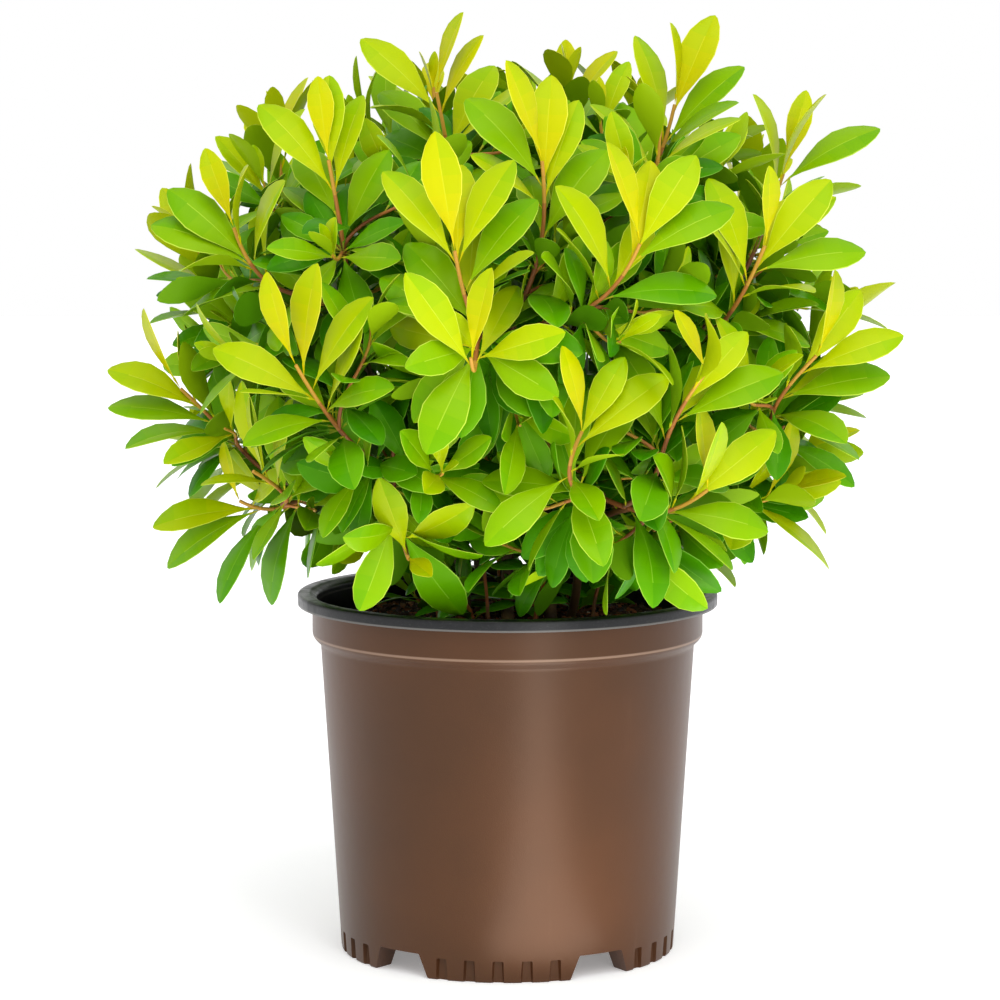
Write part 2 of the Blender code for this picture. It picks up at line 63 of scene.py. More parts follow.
# %% Camera
CAMERA_PLACE = (-0.0050, -2.4, 0.5676)
CAMERA_PITCH = 0.1106
CAMERA_LENS = 130.6


def link(made):
    """Puts a new object into the scene."""
    bpy.context.scene.collection.objects.link(made)
    return made


def add_camera():
    lens = bpy.data.cameras.new("view")
    lens.lens = CAMERA_LENS
    camera = link(bpy.data.objects.new("view", lens))
    camera.location = CAMERA_PLACE
    camera.rotation_euler = (math.pi / 2.0 - CAMERA_PITCH, 0.0, 0.0)
    bpy.context.scene.camera = camera
    return camera


print("camera:", add_camera().name)

# %% [markdown]
# The light is that of a white studio. The walls are white at eye level and darker overhead, and
# one very large soft lamp hangs above and in front, so that leaves are bright on top and the
# inside of the crown is dark. A tall narrow panel stands at the right, and a white card lies on
# the floor before it. Together they are the pale stripe down the front of the pot.
# The plain colour transform keeps the lime greens as bright as they are painted.

# %% Light
WALL_LIGHT = 1.0
CEILING_LIGHT = 0.82
WALL_TOP = (0.10, 0.55)
LAMP_TURN = math.radians(12.0)
LAMP_RISE = math.radians(52.0)
LAMP_SPREAD = math.radians(50.0)
LAMP_POWER = 1.18
PANEL_PLACE = Vector((0.55, -1.52, 0.60))
PANEL_SIZE = (0.24, 1.2)
PANEL_POWER = 4.0
CARD_TURN = math.radians(17.0)
CARD_DISTANCE = 0.71
CARD_SIZE = (0.15, 1.14)
CARD_LIFT = 0.004
CARD_POWER = 2.0
LIGHT_AIM = Vector((0.0, 0.0, 0.30))


def direction(turn, rise=0.0):
    """A turn round the axis from the front and a rise above the level, as a vector."""
    level = math.cos(rise)
    return Vector((level * math.sin(turn), -level * math.cos(turn), math.sin(rise)))


def aim(light, place):
    """Puts a light at a place and points it at the middle of the plant."""
    light.location = place
    light.rotation_euler = (LIGHT_AIM - place).to_track_quat("-Z", "Y").to_euler()


def add_lamp():
    sun = bpy.data.lights.new("overhead_lamp", "SUN")
    sun.energy = LAMP_POWER
    sun.angle = LAMP_SPREAD
    aim(link(bpy.data.objects.new("overhead_lamp", sun)), LIGHT_AIM + direction(LAMP_TURN, LAMP_RISE))


def add_sheet_light(name, size, power):
    sheet = bpy.data.lights.new(name, "AREA")
    sheet.shape = "RECTANGLE"
    sheet.size, sheet.size_y = size
    sheet.energy = power
    return link(bpy.data.objects.new(name, sheet))


def add_panel():
    aim(add_sheet_light("side_panel", PANEL_SIZE, PANEL_POWER), PANEL_PLACE)


def add_card():
    """A card that lies on the floor, with its long side towards the pot."""
    card = add_sheet_light("floor_card", CARD_SIZE, CARD_POWER)
    card.location = direction(CARD_TURN) * CARD_DISTANCE + UP * CARD_LIFT
    card.rotation_euler = (math.pi, 0.0, CARD_TURN)


def add_room():
    """White walls that darken towards the ceiling."""
    room = bpy.data.worlds.new("room")
    room.use_nodes = True
    nodes, links = room.node_tree.nodes, room.node_tree.links
    split = nodes.new("ShaderNodeSeparateXYZ")
    links.new(nodes.new("ShaderNodeTexCoord").outputs["Generated"], split.inputs[0])
    fade = nodes.new("ShaderNodeMapRange")
    links.new(split.outputs["Z"], fade.inputs["Value"])
    fade.inputs["From Min"].default_value, fade.inputs["From Max"].default_value = WALL_TOP
    fade.inputs["To Min"].default_value = WALL_LIGHT
    fade.inputs["To Max"].default_value = CEILING_LIGHT
    links.new(fade.outputs[0], nodes["Background"].inputs["Strength"])
    nodes["Background"].inputs["Color"].default_value = (1.0, 1.0, 1.0, 1.0)
    bpy.context.scene.world = room


add_room()
add_lamp()
add_panel()
add_card()
bpy.context.scene.view_settings.view_transform = "Standard"
print("lamp rises", round(math.degrees(LAMP_RISE)), "degrees")

# %% [markdown]
# Finishes are written as sums. Value wraps one output of a node, and each sign between two
# values adds a Math node. Finish holds one material: its node method sets a node's settings,
# then its sockets, and hands back an output. Colours are written as they look on a screen, and
# colour() turns them into the linear ones that a shader takes.

# %% Finishes as sums


class Value:
    """An output of a node that can stand in a sum."""

    def __init__(self, finish, socket):
        self.finish = finish
        self.socket = socket

    def math(self, operation, first, second):
        return self.finish.node("ShaderNodeMath", {"operation": operation}, {0: first, 1: second})

    def __add__(self, other):
        return self.math("ADD", self, other)

    def __sub__(self, other):
        return self.math("SUBTRACT", self, other)

    def __mul__(self, other):
        return self.math("MULTIPLY", self, other)

    def __rsub__(self, other):
        return self.math("SUBTRACT", other, self)

    __radd__ = __add__
    __rmul__ = __mul__


def linear(value):
    share = value / 255.0
    return share / 12.92 if share <= 0.04045 else ((share + 0.055) / 1.055) ** 2.4


def colour(red, green, blue):
    return (linear(red), linear(green), linear(blue), 1.0)


class Finish:
    """A material in the making."""

    def __init__(self, name, base, roughness, **others):
        self.material = bpy.data.materials.new(name)
        self.material.use_nodes = True
        self.tree = self.material.node_tree
        self.shader = self.tree.nodes["Principled BSDF"]
        self.set(Base_Color=base, Roughness=roughness, **others)

    def set(self, **sockets):
        for name, value in sockets.items():
            self.feed(self.shader.inputs[name.replace("_", " ")], value)

    def feed(self, socket, value):
        if isinstance(value, Value):
            self.tree.links.new(value.socket, socket)
        else:
            socket.default_value = value

    def node(self, kind, settings=None, sockets=None, output=0):
        made = self.tree.nodes.new(kind)
        for name, value in (settings or {}).items():
            setattr(made, name, value)
        for name, value in (sockets or {}).items():
            self.feed(made.inputs[name], value)
        return Value(self, made.outputs[output])

    def place(self, stretch=(1.0, 1.0, 1.0)):
        """Object coordinates, stretched."""
        where = self.node("ShaderNodeTexCoord", output="Object")
        return self.node("ShaderNodeMapping", sockets={"Vector": where, "Scale": stretch})

    def noise(self, scale, detail=3.0, stretch=(1.0, 1.0, 1.0)):
        return self.node("ShaderNodeTexNoise", sockets={
            "Vector": self.place(stretch), "Scale": scale, "Detail": detail})

    def between(self, low, high, value):
        """0 below low, 1 above high, and even in between."""
        return self.node("ShaderNodeMapRange", sockets={
            "Value": value, "From Min": low, "From Max": high})

    def blend(self, share, first, second):
        """One colour turning into another."""
        return self.node("ShaderNodeMix", {"data_type": "RGBA"},
                         {0: share, 6: first, 7: second}, output=2)

    def line_at(self, height, half_width):
        """1 on a level line round the piece, and 0 away from it."""
        level = self.node("ShaderNodeSeparateXYZ", sockets={0: self.place()}, output=2)
        off = self.node("ShaderNodeMath", {"operation": "ABSOLUTE"}, {0: level - height})
        return 1.0 - self.between(half_width * 0.4, half_width, off)

    def relief(self, height, depth):
        """Fine unevenness that only bends the light."""
        self.set(Normal=self.node("ShaderNodeBump", sockets={"Height": height, "Distance": depth}))


print("finishes are ready")

# %% [markdown]
# The floor is a plain white sheet, wide enough to reach past the picture. It glows a little, as
# a sheet does that is lit from below, which keeps the plant's shadow faint. It isn't part of the
# plant, so it is left off the body.

# %% Floor
FLOOR_SIZE = 14.0
FLOOR_GLOW = 0.24


def add_floor():
    bm = bmesh.new()
    bmesh.ops.create_grid(bm, x_segments=1, y_segments=1, size=FLOOR_SIZE / 2.0)
    mesh = bpy.data.meshes.new("floor")
    bm.to_mesh(mesh)
    bm.free()
    sheet = Finish("white_sheet", (0.97, 0.97, 0.98, 1.0), 0.9)
    sheet.set(Emission_Color=(1.0, 1.0, 1.0, 1.0), Emission_Strength=FLOOR_GLOW)
    mesh.materials.append(sheet.material)
    link(bpy.data.objects.new("floor", mesh))


add_floor()
print("floor:", FLOOR_SIZE, "m")

# %% [markdown]
# A finished piece is one object at the origin with its place in its mesh. It rides on the one
# body, and the solids that it stands for are hidden.

# %% Finishing a piece


def finish_piece(name, mesh, materials, nodes, smooth_below=35.0):
    """Shades a mesh smooth up to an angle and makes it the piece that stands for some solids."""
    for made in materials:
        mesh.materials.append(made)
    mesh.shade_smooth()
    mesh.set_sharp_from_angle(angle=math.radians(smooth_below))
    piece = link(bpy.data.objects.new(name, mesh))
    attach(piece, "root")
    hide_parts(*nodes)
    print(name, len(mesh.polygons), "faces")


def mesh_from(bm, name):
    bmesh.ops.recalc_face_normals(bm, faces=bm.faces)
    mesh = bpy.data.meshes.new(name)
    bm.to_mesh(mesh)
    bm.free()
    return mesh


# %% [markdown]
# The pot is blown or moulded plastic: a tapered body, a collar that steps out of it and a black
# rolled rim. A potter would turn it, and so does this: an outline in radius and height, with its
# corners rounded, is spun round the axis. Rounded corners matter, because a thin line of light
# along the collar is what tells the eye that the plastic is soft-edged.

# %% Turning an outline
ROUND_STEPS = 180
CORNER_STEPS = 4
MERGE = 0.00001


def rounded(corners):
    """An outline of (radius, height, rounding) corners with each corner rounded off."""
    outline = []
    for index, (radius, height, rounding) in enumerate(corners):
        corner = Vector((radius, height))
        if not rounding:
            outline.append(corner)
            continue
        before = Vector(corners[index - 1][:2])
        after = Vector(corners[(index + 1) % len(corners)][:2])
        start = corner + (before - corner).normalized() * rounding
        end = corner + (after - corner).normalized() * rounding
        for step in range(CORNER_STEPS + 1):
            t = step / CORNER_STEPS
            outline.append(start.lerp(corner, t).lerp(corner.lerp(end, t), t))
    return outline


def turned(outline):
    """A closed shell turned from an outline whose first and last points meet or are on the axis."""
    bm = bmesh.new()
    verts = [bm.verts.new((radius, 0.0, height)) for radius, height in outline]
    edges = [bm.edges.new(pair) for pair in zip(verts, verts[1:])]
    if min(radius for radius, height in outline) > 0.0:
        edges.append(bm.edges.new((verts[-1], verts[0])))
    bmesh.ops.spin(bm, geom=verts + edges, axis=UP, cent=(0, 0, 0), steps=ROUND_STEPS,
                   angle=math.tau, use_merge=True)
    bmesh.ops.remove_doubles(bm, verts=bm.verts, dist=MERGE)
    bmesh.ops.recalc_face_normals(bm, faces=bm.faces)
    return bm


# %% [markdown]
# The foot of the pot has five drain gaps with slanted sides, and five upright grooves on each
# foot between them. The mould would have matching blocks, so the grooves and gaps are cut here
# with blocks too: one block is shaped and bevelled, and the rest are copies turned round the axis.

# %% Pot sizes and its foot
collar_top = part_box("pot")[1].z
rim_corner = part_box("pot_rim")[1]
POT_HEIGHT = rim_corner.z
RIM_RADIUS = rim_corner.x
COLLAR_RADIUS = 0.1302
COLLAR_FOOT = 0.2115
SHOULDER_HEIGHT = 0.206
BODY_TOP_RADIUS = 0.1246
BODY_FOOT_RADIUS = 0.1116
WALL = 0.0016
FOOT_HEIGHT = 0.016
FOOT_WIDTH = 0.015
BASE_THICKNESS = 0.002
FEET = 5
FOOT_TURN = math.radians(-3.2)
DRAIN_GAP_ROUNDING = 0.0008
DRAIN_GAP_ANGLE = math.radians(20.0)
DRAIN_GAP_SLOPE = 0.006
GROOVES_PER_FOOT = 5
GROOVE_SPACING = math.radians(9.6)
GROOVE_WIDTH = 0.0052
GROOVE_FLARE = 1.25
GROOVE_ROUNDING = 0.0009
GROOVE_OPENING = 1.5
GROOVE_DEPTH = 0.0028
GROOVE_HEIGHT = 0.0145
CUT_PAST = 0.010


def block(width_below, width_above, height, front, back, flare=1.0):
    """A block before the axis, from below the floor up to a height, wider in front by flare."""
    bm = bmesh.new()
    bmesh.ops.create_cube(bm, size=1.0)
    slope = (width_below - width_above) / height
    for vert in bm.verts:
        vert.co.z = height if vert.co.z > 0 else -CUT_PAST
        vert.co.x *= width_above + slope * (height - vert.co.z)
        if vert.co.y < 0:
            vert.co.x *= flare
        vert.co.y = -front if vert.co.y < 0 else -back
    return bm


def soften(bm, width, segments=3):
    """Rounds all edges of a bmesh."""
    bmesh.ops.bevel(bm, geom=bm.edges[:], offset=width, segments=segments, profile=0.5,
                    affect="EDGES", material=-1)


def repeat_round(bm, count, spacing, first_turn):
    """Turns what a bmesh holds to its first place and repeats it round the axis."""
    bmesh.ops.rotate(bm, verts=bm.verts, cent=(0, 0, 0), matrix=Matrix.Rotation(first_turn, 3, "Z"))
    source = bm.verts[:] + bm.edges[:] + bm.faces[:]
    for index in range(1, count):
        copy = bmesh.ops.duplicate(bm, geom=source)["geom"]
        copied = [part for part in copy if isinstance(part, bmesh.types.BMVert)]
        bmesh.ops.rotate(bm, verts=copied, cent=(0, 0, 0),
                         matrix=Matrix.Rotation(index * spacing, 3, "Z"))


def drain_gaps():
    width = 2.0 * BODY_FOOT_RADIUS * math.sin(DRAIN_GAP_ANGLE / 2.0)
    bm = block(width + DRAIN_GAP_SLOPE, width - DRAIN_GAP_SLOPE, FOOT_HEIGHT - MERGE,
               BODY_FOOT_RADIUS + CUT_PAST, BODY_FOOT_RADIUS - FOOT_WIDTH - CUT_PAST)
    soften(bm, DRAIN_GAP_ROUNDING, 2)
    repeat_round(bm, FEET, math.tau / FEET, FOOT_TURN + math.pi / FEET)
    return bm


def grooves():
    bm = block(GROOVE_WIDTH * GROOVE_FLARE, GROOVE_WIDTH, GROOVE_HEIGHT,
               BODY_FOOT_RADIUS + GROOVE_DEPTH, BODY_FOOT_RADIUS - GROOVE_DEPTH, GROOVE_OPENING)
    soften(bm, GROOVE_ROUNDING)
    first = -0.5 * (GROOVES_PER_FOOT - 1) * GROOVE_SPACING
    repeat_round(bm, GROOVES_PER_FOOT, GROOVE_SPACING, first)
    repeat_round(bm, FEET, math.tau / FEET, FOOT_TURN)
    return bm


def cut(mesh, cutter_bm):
    """The mesh with the cutter taken out of it."""
    target = link(bpy.data.objects.new("target", mesh))
    cutter = link(bpy.data.objects.new("cutter", mesh_from(cutter_bm, "cutter")))
    target.modifiers.new("cut", "BOOLEAN").object = cutter
    result = bpy.data.meshes.new_from_object(
        target.evaluated_get(bpy.context.evaluated_depsgraph_get()))
    bpy.data.objects.remove(target)
    bpy.data.objects.remove(cutter)
    return result


print("pot:", round(POT_HEIGHT, 4), "m tall, rim radius", round(RIM_RADIUS, 4), "m")

# %% [markdown]
# The brown plastic is satin, not glossy. Its colour drifts a little, paler scuffs run down it,
# and a very fine grain from the mould breaks up the reflections. Under the bead at the top of the
# collar and just above the edge at its foot, a thin pale line of painted highlight runs all round.

# %% Brown plastic
BROWN = colour(76, 45, 25)
BROWN_DARK = colour(63, 38, 22)
SCUFF = colour(112, 86, 68)
# The pale lines round the collar, under its top bead and above its foot, are painted highlight.
COLLAR_PAINTED_HIGHLIGHT = colour(150, 124, 106)
HIGHLIGHT_LINE_HALF_WIDTH = 0.0011
HIGHLIGHT_LINES_FROM_EDGES = (0.0012, 0.0006)
PLASTIC_GLOSS = 0.38
PLASTIC_TINT = (1.0, 0.76, 0.60, 1.0)


def brown_plastic():
    finish = Finish("brown_plastic", BROWN, 0.45)
    drift = finish.between(0.35, 0.65, finish.noise(7.0, 3.0))
    streaks = finish.noise(90.0, 4.0, (1.0, 1.0, 0.08))
    scuffs = finish.between(0.62, 0.80, streaks) * finish.between(0.5, 0.75, finish.noise(14.0))
    base = finish.blend(drift, BROWN_DARK, BROWN)
    grain = finish.noise(1400.0, 2.0)
    # Painted highlight: two thin pale lines all round the collar.
    above, below = HIGHLIGHT_LINES_FROM_EDGES
    painted_highlights = finish.line_at(COLLAR_FOOT + above, HIGHLIGHT_LINE_HALF_WIDTH)
    painted_highlights = painted_highlights + finish.line_at(collar_top - below, HIGHLIGHT_LINE_HALF_WIDTH)
    base = finish.blend(painted_highlights * 0.6, base, COLLAR_PAINTED_HIGHLIGHT)
    finish.set(Base_Color=finish.blend(scuffs * 0.35, base, SCUFF),
               Roughness=0.31 + grain * 0.06 + drift * 0.04,
               Specular_IOR_Level=PLASTIC_GLOSS, Specular_Tint=PLASTIC_TINT)
    finish.relief(grain + finish.noise(60.0) * 2.0, 0.00006)
    return finish.material


# %% [markdown]
# The pot's outline runs up its outside and down its inside. The bead at the top of the collar
# and the rounded step below it catch the light as the two pale lines under the rim, and painted
# highlight in the brown plastic adds to both.

# %% Pot
COLLAR_BEAD = 0.0007
BEAD_HEIGHT = 0.0012


def body_radius(height):
    return BODY_FOOT_RADIUS + (BODY_TOP_RADIUS - BODY_FOOT_RADIUS) * height / SHOULDER_HEIGHT


def pot_outline():
    top = collar_top
    base_top = FOOT_HEIGHT + BASE_THICKNESS
    foot_inside = BODY_FOOT_RADIUS - FOOT_WIDTH
    bead_foot = top - BEAD_HEIGHT
    return rounded([
        (0.0, FOOT_HEIGHT, 0.0),
        (foot_inside - 0.002, FOOT_HEIGHT, 0.001),
        (foot_inside, 0.0, 0.0008),
        (BODY_FOOT_RADIUS, 0.0, 0.0016),
        (body_radius(base_top), base_top, 0.0),
        (BODY_TOP_RADIUS, SHOULDER_HEIGHT, 0.0016),
        (COLLAR_RADIUS, COLLAR_FOOT, 0.0028),
        (COLLAR_RADIUS, bead_foot - BEAD_HEIGHT, 0.0004),
        (COLLAR_RADIUS + COLLAR_BEAD, bead_foot, 0.0004),
        (COLLAR_RADIUS + COLLAR_BEAD, top, 0.0004),
        (COLLAR_RADIUS - WALL, top, 0.0003),
        (COLLAR_RADIUS - WALL, COLLAR_FOOT, 0.0010),
        (BODY_TOP_RADIUS - WALL, SHOULDER_HEIGHT, 0.0010),
        (body_radius(base_top) - WALL, base_top, 0.0010),
        (0.0, base_top, 0.0),
    ])


pot = mesh_from(turned(pot_outline()), "pot")
pot = cut(cut(pot, drain_gaps()), grooves())
finish_piece("brown_pot", pot, [brown_plastic()], ["pot"])

# %% [markdown]
# The rim is a separate ring of black plastic, rolled over the collar, with a liner that shows
# inside above the potting mix. It is smoother than the pot, with some dust, and a thin pale line
# of painted highlight runs round its lower edge.

# %% Rim
RIM_THICKNESS = 0.0018
LIP_WIDTH = 0.0085
RIM_SKIRT = 0.0077
# The pale line round the rim's lower edge is painted highlight.
RIM_HIGHLIGHT_DEPTH = 0.0070
RIM_HIGHLIGHT_HALF_WIDTH = 0.0009
RIM_TINT = colour(18, 19, 23)
RIM_BLACK = colour(12, 13, 16)
RIM_DUST = colour(46, 46, 49)
RIM_RUBBED = colour(100, 98, 95)
RIM_PAINTED_HIGHLIGHT = colour(128, 124, 120)
LINER = 0.0013
LINER_FOOT = 0.214
RIM_GAP = 0.0003


def black_plastic():
    finish = Finish("black_plastic", RIM_TINT, 0.35, Specular_IOR_Level=0.32)
    dust = finish.between(0.45, 0.75, finish.noise(120.0, 5.0))
    rub = finish.between(0.55, 0.80, finish.noise(500.0, 3.0, (1.0, 1.0, 3.0)))
    # Painted highlight: a pale line round the lower edge of the rim.
    edge = finish.line_at(POT_HEIGHT - RIM_HIGHLIGHT_DEPTH, RIM_HIGHLIGHT_HALF_WIDTH)
    base = finish.blend(dust * 0.18, RIM_BLACK, RIM_DUST)
    base = finish.blend(edge * 0.5, base, RIM_PAINTED_HIGHLIGHT)
    finish.set(Base_Color=finish.blend(rub * 0.16, base, RIM_RUBBED),
               Roughness=0.30 + dust * 0.18)
    finish.relief(finish.noise(700.0, 3.0), 0.00008)
    return finish.material


def rim_outline():
    top = POT_HEIGHT
    under = top - RIM_THICKNESS
    liner_outside = COLLAR_RADIUS - WALL - RIM_GAP
    liner_inside = liner_outside - LINER
    lip_inside = RIM_RADIUS - LIP_WIDTH
    return rounded([
        (liner_inside, LINER_FOOT, 0.0003),
        (liner_outside, LINER_FOOT, 0.0003),
        (liner_outside, under, 0.0002),
        (RIM_RADIUS - RIM_THICKNESS, under, 0.0008),
        (RIM_RADIUS - RIM_THICKNESS, top - RIM_SKIRT, 0.0004),
        (RIM_RADIUS - 0.0002, top - RIM_SKIRT, 0.0005),
        (RIM_RADIUS, top, 0.0022),
        (lip_inside, top, 0.0012),
        (liner_inside, under - 0.0010, 0.0016),
    ])


finish_piece("black_rim", mesh_from(turned(rim_outline()), "black_rim"),
             [black_plastic()], ["pot_rim"])

# %% [markdown]
# The potting mix is a bed of fine bark, with coarser chips and pale flecks of grit on top.
# The bed is turned like the pot, with many rings across its top that noise then pushes up and
# down, finer and finer.

# %% Potting mix
SOIL_LEVEL = 0.2200
SOIL_EDGE_DROP = 0.003
SOIL_RELIEF = 0.0024
SOIL_MOUND = 0.0035
SOIL_RINGS = 44


def soil_edge():
    return COLLAR_RADIUS - WALL - LINER - 2.0 * RIM_GAP


def soil_height(x, y):
    """The bed's surface: lower at the wall, and uneven."""
    share = min(math.hypot(x, y) / soil_edge(), 1.0)
    place = Vector((x, y, 0.0))
    rough = noise.noise(place * 45.0) + 0.5 * noise.noise(place * 150.0)
    rough += 0.25 * noise.noise(place * 420.0)
    height = SOIL_LEVEL + SOIL_MOUND - (SOIL_EDGE_DROP + SOIL_MOUND) * share**4
    return height + SOIL_RELIEF * rough * (1.0 - share**6)


def soil_mesh():
    inside = WALL + RIM_GAP
    low = FOOT_HEIGHT + BASE_THICKNESS + RIM_GAP
    outline = [(0.0, low), (body_radius(low) - inside, low),
               (BODY_TOP_RADIUS - inside, SHOULDER_HEIGHT - 0.001), (soil_edge(), LINER_FOOT)]
    outline += [(soil_edge() * (1.0 - ring / SOIL_RINGS), SOIL_LEVEL)
                for ring in range(SOIL_RINGS + 1)]
    bm = turned([Vector(point) for point in outline])
    for vert in bm.verts:
        if vert.co.z > LINER_FOOT + 0.001:
            vert.co.z = soil_height(vert.co.x, vert.co.y)
    return mesh_from(bm, "potting_bed")


def bed_finish():
    finish = Finish("fine_bark", colour(40, 26, 18), 0.9)
    crumbs = finish.noise(900.0, 4.0)
    patches = finish.between(0.4, 0.6, finish.noise(160.0, 3.0))
    base = finish.blend(patches, colour(26, 16, 11), colour(66, 42, 28))
    finish.set(Base_Color=finish.blend(finish.between(0.55, 0.8, crumbs), base, colour(104, 66, 42)))
    finish.relief(crumbs, 0.0012)
    return finish.material


finish_piece("potting_bed", soil_mesh(), [bed_finish()], ["potting_mix"])

# %% [markdown]
# Everything below is made of many small like things: chips, twigs, leaves. Scatter collects
# copies of a small mesh, each with its own points, and turns them into one mesh at the end.

# %% Joining many small shapes


class Scatter:
    """Collects points, faces and finish numbers of many small shapes for one mesh."""

    def __init__(self):
        self.points = []
        self.faces = []
        self.finishes = []
        self.count = 0

    def add(self, points, faces, finishes):
        self.points.append(points)
        self.faces.extend([corner + self.count for corner in face] for face in faces)
        self.finishes.extend(finishes)
        self.count += len(points)

    def mesh(self, name):
        mesh = bpy.data.meshes.new(name)
        mesh.from_pydata(np.concatenate(self.points).tolist(), [], self.faces)
        mesh.polygons.foreach_set("material_index", self.finishes)
        return mesh


def as_arrays(bm):
    """A bmesh as its points and its faces' corner numbers."""
    bm.verts.index_update()
    points = np.array([vert.co for vert in bm.verts])
    faces = [[vert.index for vert in face.verts] for face in bm.faces]
    return points, faces


# %% [markdown]
# A chip is a bevelled block of a few faces, and thousands of squashed, tilted copies of it are
# joined into one mesh and sunk a little into the bed. A fleck is a tiny pale one.

# %% Chips and flecks
CHIP_SEED = 3
CHIPS = 2600
FLECKS = 260
CHIP_LENGTHS = (0.002, 0.008)
CHIP_WIDTHS = (0.3, 0.7)
CHIP_HEIGHTS = (0.15, 0.4)
CHIP_TILT = 0.35
CHIP_UNEVEN = 0.25
CHIP_RAISED = 0.3
FLECK_WIDTHS = (0.0006, 0.0018)
CHIP_REACH = 0.985
CHIP_SHADES = (colour(58, 36, 22), colour(104, 60, 34), colour(142, 82, 48), colour(80, 54, 38))
FLECK_SHADES = (colour(196, 184, 160), colour(150, 128, 98))


def chip_block():
    bm = bmesh.new()
    bmesh.ops.create_cube(bm, size=1.0)
    soften(bm, 0.18, 1)
    bmesh.ops.recalc_face_normals(bm, faces=bm.faces)
    shape = as_arrays(bm)
    bm.free()
    return shape


def lay_chip(scatter, shape, size, finish, chance):
    points, faces = shape
    radius = soil_edge() * CHIP_REACH * math.sqrt(chance.random())
    turn = chance.uniform(0.0, math.tau)
    x, y = radius * math.cos(turn), radius * math.sin(turn)
    tilt = Matrix.Rotation(chance.uniform(0.0, math.tau), 3, "Z")
    for axis in "XY":
        tilt = tilt @ Matrix.Rotation(chance.gauss(0.0, CHIP_TILT), 3, axis)
    uneven = 1.0 + np.array([[chance.uniform(-CHIP_UNEVEN, CHIP_UNEVEN)] for _ in points])
    laid = (points * uneven * np.array(size)) @ np.array(tilt).T
    limit = soil_edge() - max(size) / 2.0
    shrink = min(1.0, limit / max(radius, MERGE))
    place = np.array([x * shrink, y * shrink, soil_height(x, y) + CHIP_RAISED * size[2]])
    scatter.add(laid + place, faces, [finish] * len(faces))


def make_chips():
    chance = random.Random(CHIP_SEED)
    scatter = Scatter()
    shape = chip_block()
    for _ in range(CHIPS):
        length = chance.uniform(*CHIP_LENGTHS) * chance.uniform(0.4, 1.0)
        size = (length, length * chance.uniform(*CHIP_WIDTHS), length * chance.uniform(*CHIP_HEIGHTS))
        lay_chip(scatter, shape, size, chance.randrange(len(CHIP_SHADES)), chance)
    for _ in range(FLECKS):
        width = chance.uniform(*FLECK_WIDTHS)
        finish = len(CHIP_SHADES) + chance.randrange(len(FLECK_SHADES))
        lay_chip(scatter, shape, (width, width, width * 0.8), finish, chance)
    finishes = [Finish(f"chip_{number}", shade, 0.85).material
                for number, shade in enumerate(CHIP_SHADES + FLECK_SHADES)]
    finish_piece("bark_chips", scatter.mesh("bark_chips"), finishes,
                 ["potting_mix"], 20.0)


make_chips()

# %% [markdown]
# The crown follows one rule. Its skin is a squared-off round form, widest at the waist. Shoots
# end at seats a little inside that skin: first the ones that stand out at the front, then always
# the emptiest place that is left, so that the crown is full from every side. A shoot near the
# top stands upright, and one near the foot leans far out to reach the light.

# %% Form of the crown
CROWN_TOP = 0.6305
CROWN_WAIST = 0.400
CROWN_FOOT = 0.205
CROWN_RADIUS = 0.271
CROWN_SQUARENESS = 2.5
ROSETTE_INSET = 0.054
SHOOTS = 44
SEAT_CHOICES = 600
LOWEST_SEAT_RISE = -46.0
SIDE_LIGHT = 0.8
SPIRAL = math.radians(137.5)
LEAN_AT_TOP = math.radians(4.0)
LEAN_AT_FOOT = math.radians(74.0)
LEAN_RISES = (-45.0, 55.0)
MIDDLE = Vector((0.0, 0.0, CROWN_WAIST))
FRONT_SHOOTS = (
    (-35, 65), (-41, 37), (-59, 23), (-9, 20), (7, 37), (23, 21),
    (87, 56), (86, 33), (51, 20), (-84, -6), (-37, 1), (-6, 3),
    (-78, -28), (-28, -42), (12, -9), (34, 0), (65, 1), (39, -21), (100, 77),
)
# The lean of each front shoot: to the right, in degrees, and towards the viewer, as a share
FRONT_LEANS = (
    (-12, 0.1), (-10, 0.2), (-17, 0.1), (-9, 0.3), (-6, 0.3), (22, 0.3), (12, 0.1), (18, 0.1),
    (20, 0.3), (-46, 0.1), (-28, 0.35), (-9, 0.35), (-60, 0.3), (-14, 2.0), (25, 0.35), (36, 0.3),
    (44, 0.2), (48, 0.4),
)
GAP = 0.0003


def mix(low, high, share):
    return low + (high - low) * share


def smooth_step(low, high, value):
    t = min(max((value - low) / (high - low), 0.0), 1.0)
    return t * t * (3.0 - 2.0 * t)


def crown_fill(place, inset=0.0):
    """0 at the middle of the crown and 1 on its skin, or on the skin moved in by inset."""
    reach = CROWN_TOP - CROWN_WAIST if place.z > CROWN_WAIST else CROWN_WAIST - CROWN_FOOT
    out = math.hypot(place.x, place.y) / (CROWN_RADIUS - inset)
    up = abs(place.z - CROWN_WAIST) / (reach - inset)
    return out**CROWN_SQUARENESS + up**CROWN_SQUARENESS


def on_crown(way, inset=0.0):
    """Where a line from the middle of the crown meets its skin."""
    return MIDDLE + way * crown_fill(MIDDLE + way, inset) ** (-1.0 / CROWN_SQUARENESS)


def front_seat(turn, rise):
    """The seat of a shoot at the front, from its turn and rise in degrees."""
    return on_crown(direction(math.radians(turn), math.radians(rise)), ROSETTE_INSET)


def rise_of(place):
    offset = place - MIDDLE
    return math.atan2(offset.z, math.hypot(offset.x, offset.y))


def outward(place):
    """The level direction from the axis to a place."""
    return Vector((place.x, place.y, 0.0)).normalized()


def seat_way(seat):
    """The direction in which the shoot that ends at this seat points."""
    for (turn, rise), (lean, toward) in zip(FRONT_SHOOTS, FRONT_LEANS):
        if (front_seat(turn, rise) - seat).length < GAP:
            side = math.radians(lean)
            return Vector((math.sin(side), -toward, math.cos(side))).normalized()
    lean = mix(LEAN_AT_FOOT, LEAN_AT_TOP, smooth_step(*LEAN_RISES, math.degrees(rise_of(seat))))
    return UP * math.cos(lean) + outward(seat) * math.sin(lean)


